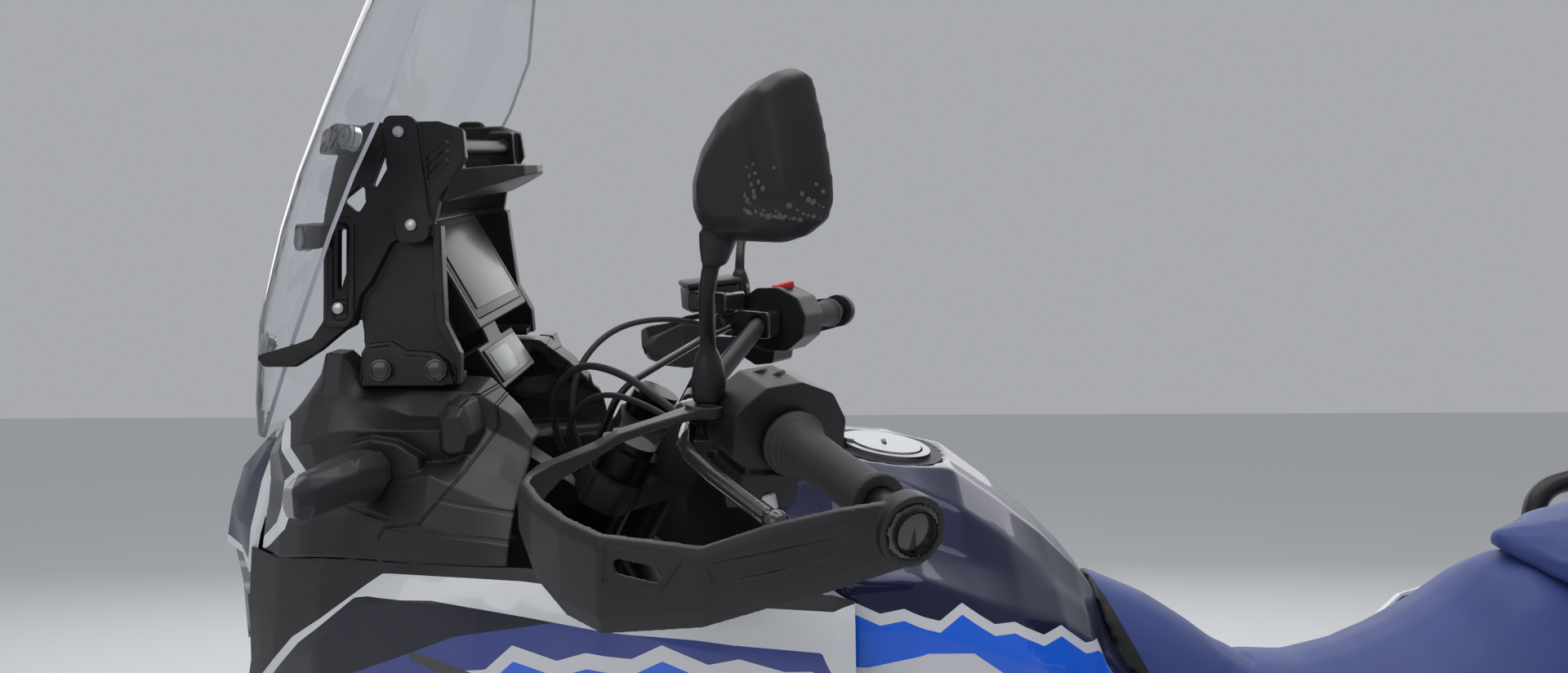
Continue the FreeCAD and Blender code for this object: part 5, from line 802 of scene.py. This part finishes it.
# Switch housings are satin nylon in two halves, levers are painted black aluminium, and the
# guards are the same grained plastic as the cowls.
moulded("switchgear", "steering", satin_plastic, 0.0012, 3, 0.3)
gloss_black = Finish("gloss_black_paint", Coat_Weight=1.0, Coat_Roughness=0.05)
peel = gloss_black.noise(150, 2.0)
gloss_black.set("Base Color", gloss_black.mix(peel, (0.012, 0.012, 0.013, 1), (0.02, 0.02, 0.021, 1)))
gloss_black.set("Roughness", peel * 0.08 + 0.2)
moulded("levers", "steering", gloss_black, 0.0014, 5, 0.4)
guard_paint = Finish("handguard_plastic", Specular_IOR_Level=0.4)
ahead, across, up = guard_paint.upright()
from_end = (ahead - 0.1573, across.math("ABSOLUTE") - 0.4513, up - 1.1349)
out = from_end[0] * -0.415 + from_end[1] * 0.907 + from_end[2] * -0.066
squared = from_end[0] * from_end[0] + from_end[1] * from_end[1] + from_end[2] * from_end[2]
reach = (squared - out * out).math("SQRT")
plug = (reach < 0.0183) * (out > 0.007)
cloud = guard_paint.noise(9, 3.0)
colour = guard_paint.mix(cloud.share(0.35, 0.65), (0.015, 0.015, 0.017, 1), (0.02, 0.02, 0.022, 1))
guard_paint.set("Base Color", guard_paint.mix(plug, colour, (0.004, 0.004, 0.004, 1)))
guard_paint.set("Roughness", (1 - plug) * 0.32 + 0.1)
guard_paint.bump(guard_paint.noise(2600, 2.0), 0.00006)
moulded("handguards", "steering", guard_paint, 0.0012, 2, 0.28)


# Mirrors: a deep moulded shell in grained black plastic on its stem, in one piece with it
# here. The front brake hoses are glossy black.
mirror_black = grained("mirror_shell", (0.011, 0.011, 0.012, 1), 0.42, 3000, 0.00003)
mirrors = moulded("mirrors", "steering", mirror_black, 0.002, 14, 0.8)
dress(gloss_black, "front_hoses")


# Mirror glass: a silvered plate in the rear face of each shell, tinted a little blue.
mirror_glass = Finish("mirror_glass", Metallic=1.0, Base_Color=(0.62, 0.64, 0.68, 1))
mirror_glass.set("Roughness", mirror_glass.noise(30, 2.0) * 0.02 + 0.02)
mirrors.data.materials.append(mirror_glass.material)
for face in mirrors.data.polygons:
    side = 1 if face.center.y > -0.1 else -1
    back = STAND.to_3x3() @ Vector((-0.799, -0.602 * side, 0))
    face.material_index = int(face.normal.dot(back) > 0.985)


# Screws: bright stainless button heads in the towers, black ones in their feet and the cowls,
# clear cups with a screw in the screen, and plugs and bolts where the guards meet the bars.
SPLAY = math.radians(10.6)
TOWER_Y = 120
TOWER_Z = 1330


def tower_place(x, z, out):
    """A place on the tower's outer face, from its x and its height along the splayed plate."""
    return (x, TOWER_Y + out * math.cos(SPLAY) - (z - TOWER_Z) * math.sin(SPLAY),
            TOWER_Z + out * math.sin(SPLAY) + (z - TOWER_Z) * math.cos(SPLAY),
            (0, math.cos(SPLAY), math.sin(SPLAY)))


def both_sides(places):
    """Each place and direction, and the same on the other side."""
    return [(place, direction) for x, y, z, direction in places for place, direction in
            (((x, y, z), direction), ((x, -y, z), (direction[0], -direction[1], direction[2])))]


def screw_heads(name, body, finish, radius, height, places):
    """Button heads with a hexagon socket: one is modelled, and copied to each place and direction."""
    bpy.ops.object.select_all(action="DESELECT")
    bpy.ops.mesh.primitive_cylinder_add(vertices=24, radius=radius / 1000, depth=height / 1000)
    head = bpy.context.object
    for polygon in head.data.polygons:
        polygon.select = polygon.normal.z > 0.9
    bpy.ops.object.mode_set(mode="EDIT")
    bpy.ops.mesh.select_mode(type="FACE")
    rounding, wall, socket = height / 2.8, 0.38 * radius, 0.6 * height
    bpy.ops.mesh.bevel(offset=rounding / 1000, segments=3)
    bpy.ops.mesh.inset(thickness=wall / 1000)
    bpy.ops.mesh.extrude_region_move(TRANSFORM_OT_translate={"value": (0, 0, -socket / 1000)})
    bpy.ops.object.mode_set(mode="OBJECT")
    copies = []
    for place, direction in places:
        copy = bpy.data.objects.new(name, head.data.copy())
        bpy.context.collection.objects.link(copy)
        turn = Vector(direction).to_track_quat("Z", "Y").to_matrix().to_4x4()
        copy.data.transform(Matrix.Translation(mm(*place)) @ turn)
        copies.append(copy)
    bpy.data.objects.remove(head)
    joined_pieces(copies, name, body, finish)


stainless = Finish("stainless_screw", Metallic=1.0, Base_Color=(0.6, 0.6, 0.61, 1))
stainless.set("Roughness", stainless.noise(900, 2.0) * 0.12 + 0.2)
screw_heads("tower_screws", "chassis", stainless, 4.6, 4,
            both_sides([tower_place(564, 1376, 6.4), tower_place(553, 1295, 6.4),
                        tower_place(617, 1223, 4.2)]))
screw_heads("foot_screws", "chassis", gloss_black, 8.6, 7,
            both_sides([tower_place(579, 1169, 5.6), tower_place(531, 1169, 5.6)]))
screw_heads("cowl_screws", "chassis", gloss_black, 8, 6,
            both_sides([(611, 191, 1038, (0.35, 0.9, 0.15))]))
clear_cup = Finish("clear_cup", Base_Color=(0.8, 0.82, 0.88, 1), Transmission_Weight=0.6, IOR=1.45)
clear_cup.set("Roughness", clear_cup.noise(60, 2.0) * 0.1 + 0.1)
screen_places = both_sides([(588, 168, 1371, (0.75, 0.6, 0.25)), (642, 147, 1286, (0.8, 0.55, 0.25)),
                            (698, 112, 1189, (0.85, 0.45, 0.25))])
screw_heads("screen_cups", "chassis", clear_cup, 9.5, 7, screen_places)
screw_heads("screen_screws", "chassis", stainless, 4, 9, screen_places)
screw_heads("guard_plugs", "steering", gloss_black, 15.5, 5,
            both_sides([(152.4, 461.7, 1134.2, (-0.415, 0.907, -0.066))]))
screw_heads("guard_bolts", "steering", stainless, 8, 6,
            both_sides([(286, 279, 1172.5, (0, 0, 1))]))


# Switches on the left bar: two rockers and a toggle above, a block and a flat bar below them,
# and the indicator's pale-capped switch. On the right a red engine switch and a reservoir.
def cap_plastic(name, darker, paler, roughness):
    finish = Finish(name)
    finish.set("Base Color", finish.mix(finish.noise(40, 2.0), darker, paler))
    finish.set("Roughness", finish.noise(200, 2.0) * 0.1 + roughness)
    return finish


rocker = grained("switch_caps", (0.02, 0.02, 0.022, 1), 0.5, 2200, 0.00003)
blocks("left_switches", "steering", "black_plastic", rocker,
       ((13, 9, 6), (263, 262, 1178), (0, 0, -24), 0.0015),
       ((13, 9, 6), (249, 262, 1190), (0, 20, -24), 0.0015),
       ((22, 12, 8), (238, 268, 1186), (0, 30, -24), 0.002),
       ((26, 16, 22), (262, 268, 1098), (0, 10, -24), 0.003),
       ((40, 8, 5), (255, 283, 1118), (0, 5, -24), 0.001))
pale_cap = cap_plastic("pale_switch_cap", (0.62, 0.63, 0.64, 1), (0.74, 0.75, 0.76, 1), 0.3)
blocks("indicator_switch", "steering", "white_paint", pale_cap,
       ((22, 9, 13), (246, 303, 1100), (0, 12, -20), 0.002),
       ((9, 7, 8), (232, 304, 1088), (0, 12, -20), 0.002))
red_cap = cap_plastic("red_switch_cap", (0.5, 0.012, 0.015, 1), (0.6, 0.02, 0.02, 1), 0.35)
blocks("engine_switch", "steering", "red_lens", red_cap, ((26, 14, 9), (232, -272, 1192), (0, 12, 24), 0.002))
blocks("brake_reservoir", "steering", "black_plastic", rocker,
       ((64, 44, 30), (322, -258, 1182), (0, 4, 20), 0.004),
       ((68, 48, 7), (322, -258, 1200), (0, 4, 20), 0.0025))


# Cables in black rubber: clutch cable and switch lead leave the left switch housing, and the
# throttle cable the right one. They droop ahead of the yokes and go down behind the cowl.
def cable(name, points, radius, finish):
    """A free cable through points, upright in mm, from its switch housing to behind the cowl."""
    curve = bpy.data.curves.new(name, "CURVE")
    curve.dimensions = "3D"
    spline = curve.splines.new("NURBS")
    spline.points.add(len(points) - 1)
    for point, place in zip(spline.points, points):
        point.co = (*(STAND @ mm(*place)), 1)
    spline.order_u = 3
    spline.use_endpoint_u = True
    spline.resolution_u = 10
    curve.bevel_depth = radius / 1000
    curve.bevel_resolution = 3
    curve.use_fill_caps = True
    piece = bpy.data.objects.new(name, curve)
    bpy.context.collection.objects.link(piece)
    curve.materials.append(finish.material)
    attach(piece, "steering")
    line = curve.copy()
    line.bevel_depth = 0
    bare = bpy.data.objects.new("bare", line)
    mesh = bpy.data.meshes.new_from_object(bare)
    bpy.data.objects.remove(bare)


cable("clutch_cable", [(300, 236, 1140), (330, 205, 1156), (372, 160, 1172), (415, 112, 1170),
                       (446, 80, 1140), (452, 62, 1098), (440, 54, 1060), (425, 50, 1030)], 3.4, tyre_rubber)
cable("switch_lead", [(282, 230, 1130), (310, 196, 1128), (350, 150, 1140), (395, 104, 1142), (430, 74, 1118),
                      (440, 58, 1082), (430, 48, 1050), (418, 44, 1028)], 2.8, tyre_rubber)
cable("throttle_cable", [(300, -232, 1140), (330, -190, 1160), (372, -120, 1176), (410, -50, 1176),
                         (436, 0, 1150), (444, 22, 1110), (436, 28, 1070), (424, 28, 1036)], 3.2, tyre_rubber)


# Lamp lens: clear polycarbonate in two flat faces that meet on the middle line, glued to the
# housing's edge in front of the barrels.
lens_clear = Finish("lamp_lens", Base_Color=(0.9, 0.93, 0.96, 1), Transmission_Weight=0.9, IOR=1.35)
lens_clear.set("Roughness", lens_clear.noise(300, 2.0, 0.5, (0.2, 0.2, 1)) * 0.08 + 0.02)
blocks("lamp_lens", "chassis", "clear", lens_clear,
       ((3.5, 72, 88), (767, 36, 932), (0, 0, 15.5), 0.0012),
       ((3.5, 72, 88), (767, -36, 932), (0, 0, -15.5), 0.0012))


# Rain: small drops of clear water stand on the lower half of the left mirror's shell. Each is a
# flattened ball that lies along the surface.
water = Finish("water", Transmission_Weight=0.9, IOR=1.33)
water.set("Roughness", water.noise(100, 2.0) * 0.02)
DROPS = 44
drops = []
bpy.ops.object.select_all(action="DESELECT")
bpy.ops.mesh.primitive_uv_sphere_add(segments=12, ring_count=8, radius=1)
drop = bpy.context.object
for number in range(DROPS):
    across_share = number * 0.618 % 1
    height_share = number * 0.367 % 1
    start = STAND @ mm(196 + 90 * across_share, 440, 1309 + 46 * height_share * height_share)
    place, normal = mirrors.closest_point_on_mesh(start)[1:3]
    size = 0.0008 + 0.0014 * (number * 0.271 % 1)
    copy = bpy.data.objects.new("drop", drop.data.copy())
    bpy.context.collection.objects.link(copy)
    turn = normal.to_track_quat("Z", "Y").to_matrix().to_4x4()
    flattened = Matrix.Diagonal((size, size, size * 0.7, 1))
    copy.data.transform(STAND.inverted() @ Matrix.Translation(place) @ turn @ flattened)
    drops.append(copy)
bpy.data.objects.remove(drop)
joined_pieces(drops, "rain_drops", "steering", water, 180)


# The floor and the light: a pale studio floor under an even sky, with a wide lamp overhead, a
# small one in front on the left and a wide one on the far side.
bpy.ops.object.select_all(action="DESELECT")
bpy.ops.mesh.primitive_plane_add(size=60, location=(0, 0, -0.0005))
floor = bpy.context.object
floor.name = "floor"
paper = Finish("floor_paper", Base_Color=(0.74, 0.75, 0.76, 1), Roughness=0.9)
floor.data.materials.append(paper.material)


def soft_lamp(name, place, aim, size, watts):
    """A rectangular lamp that neither the camera nor the screen shows."""
    bpy.ops.object.light_add(type="AREA", location=place)
    made = bpy.context.object
    made.name = name
    made.data.shape = "RECTANGLE"
    made.data.size, made.data.size_y = size
    made.data.energy = watts
    made.visible_camera = False
    made.visible_transmission = False
    made.rotation_euler = (Vector(aim) - Vector(place)).to_track_quat("-Z", "Y").to_euler()


soft_lamp("overhead", (0.2, 0.0, 4.4), (0.1, -0.1, 0.9), (5.0, 4.0), 110)
soft_lamp("left_front", (2.2, 3.4, 2.4), (0.2, 0, 1.0), (2.5, 2.0), 14)
soft_lamp("far_side", (0.2, -4.2, 2.9), (0.1, 0, 1.1), (8.0, 2.6), 80)

sky = bpy.data.worlds.new("sky")
bpy.context.scene.world = sky
sky.use_nodes = True
sky.node_tree.nodes["Background"].inputs["Color"].default_value = (0.78, 0.8, 0.84, 1)
sky.node_tree.nodes["Background"].inputs["Strength"].default_value = 0.5

bpy.context.scene.view_settings.view_transform = "Standard"
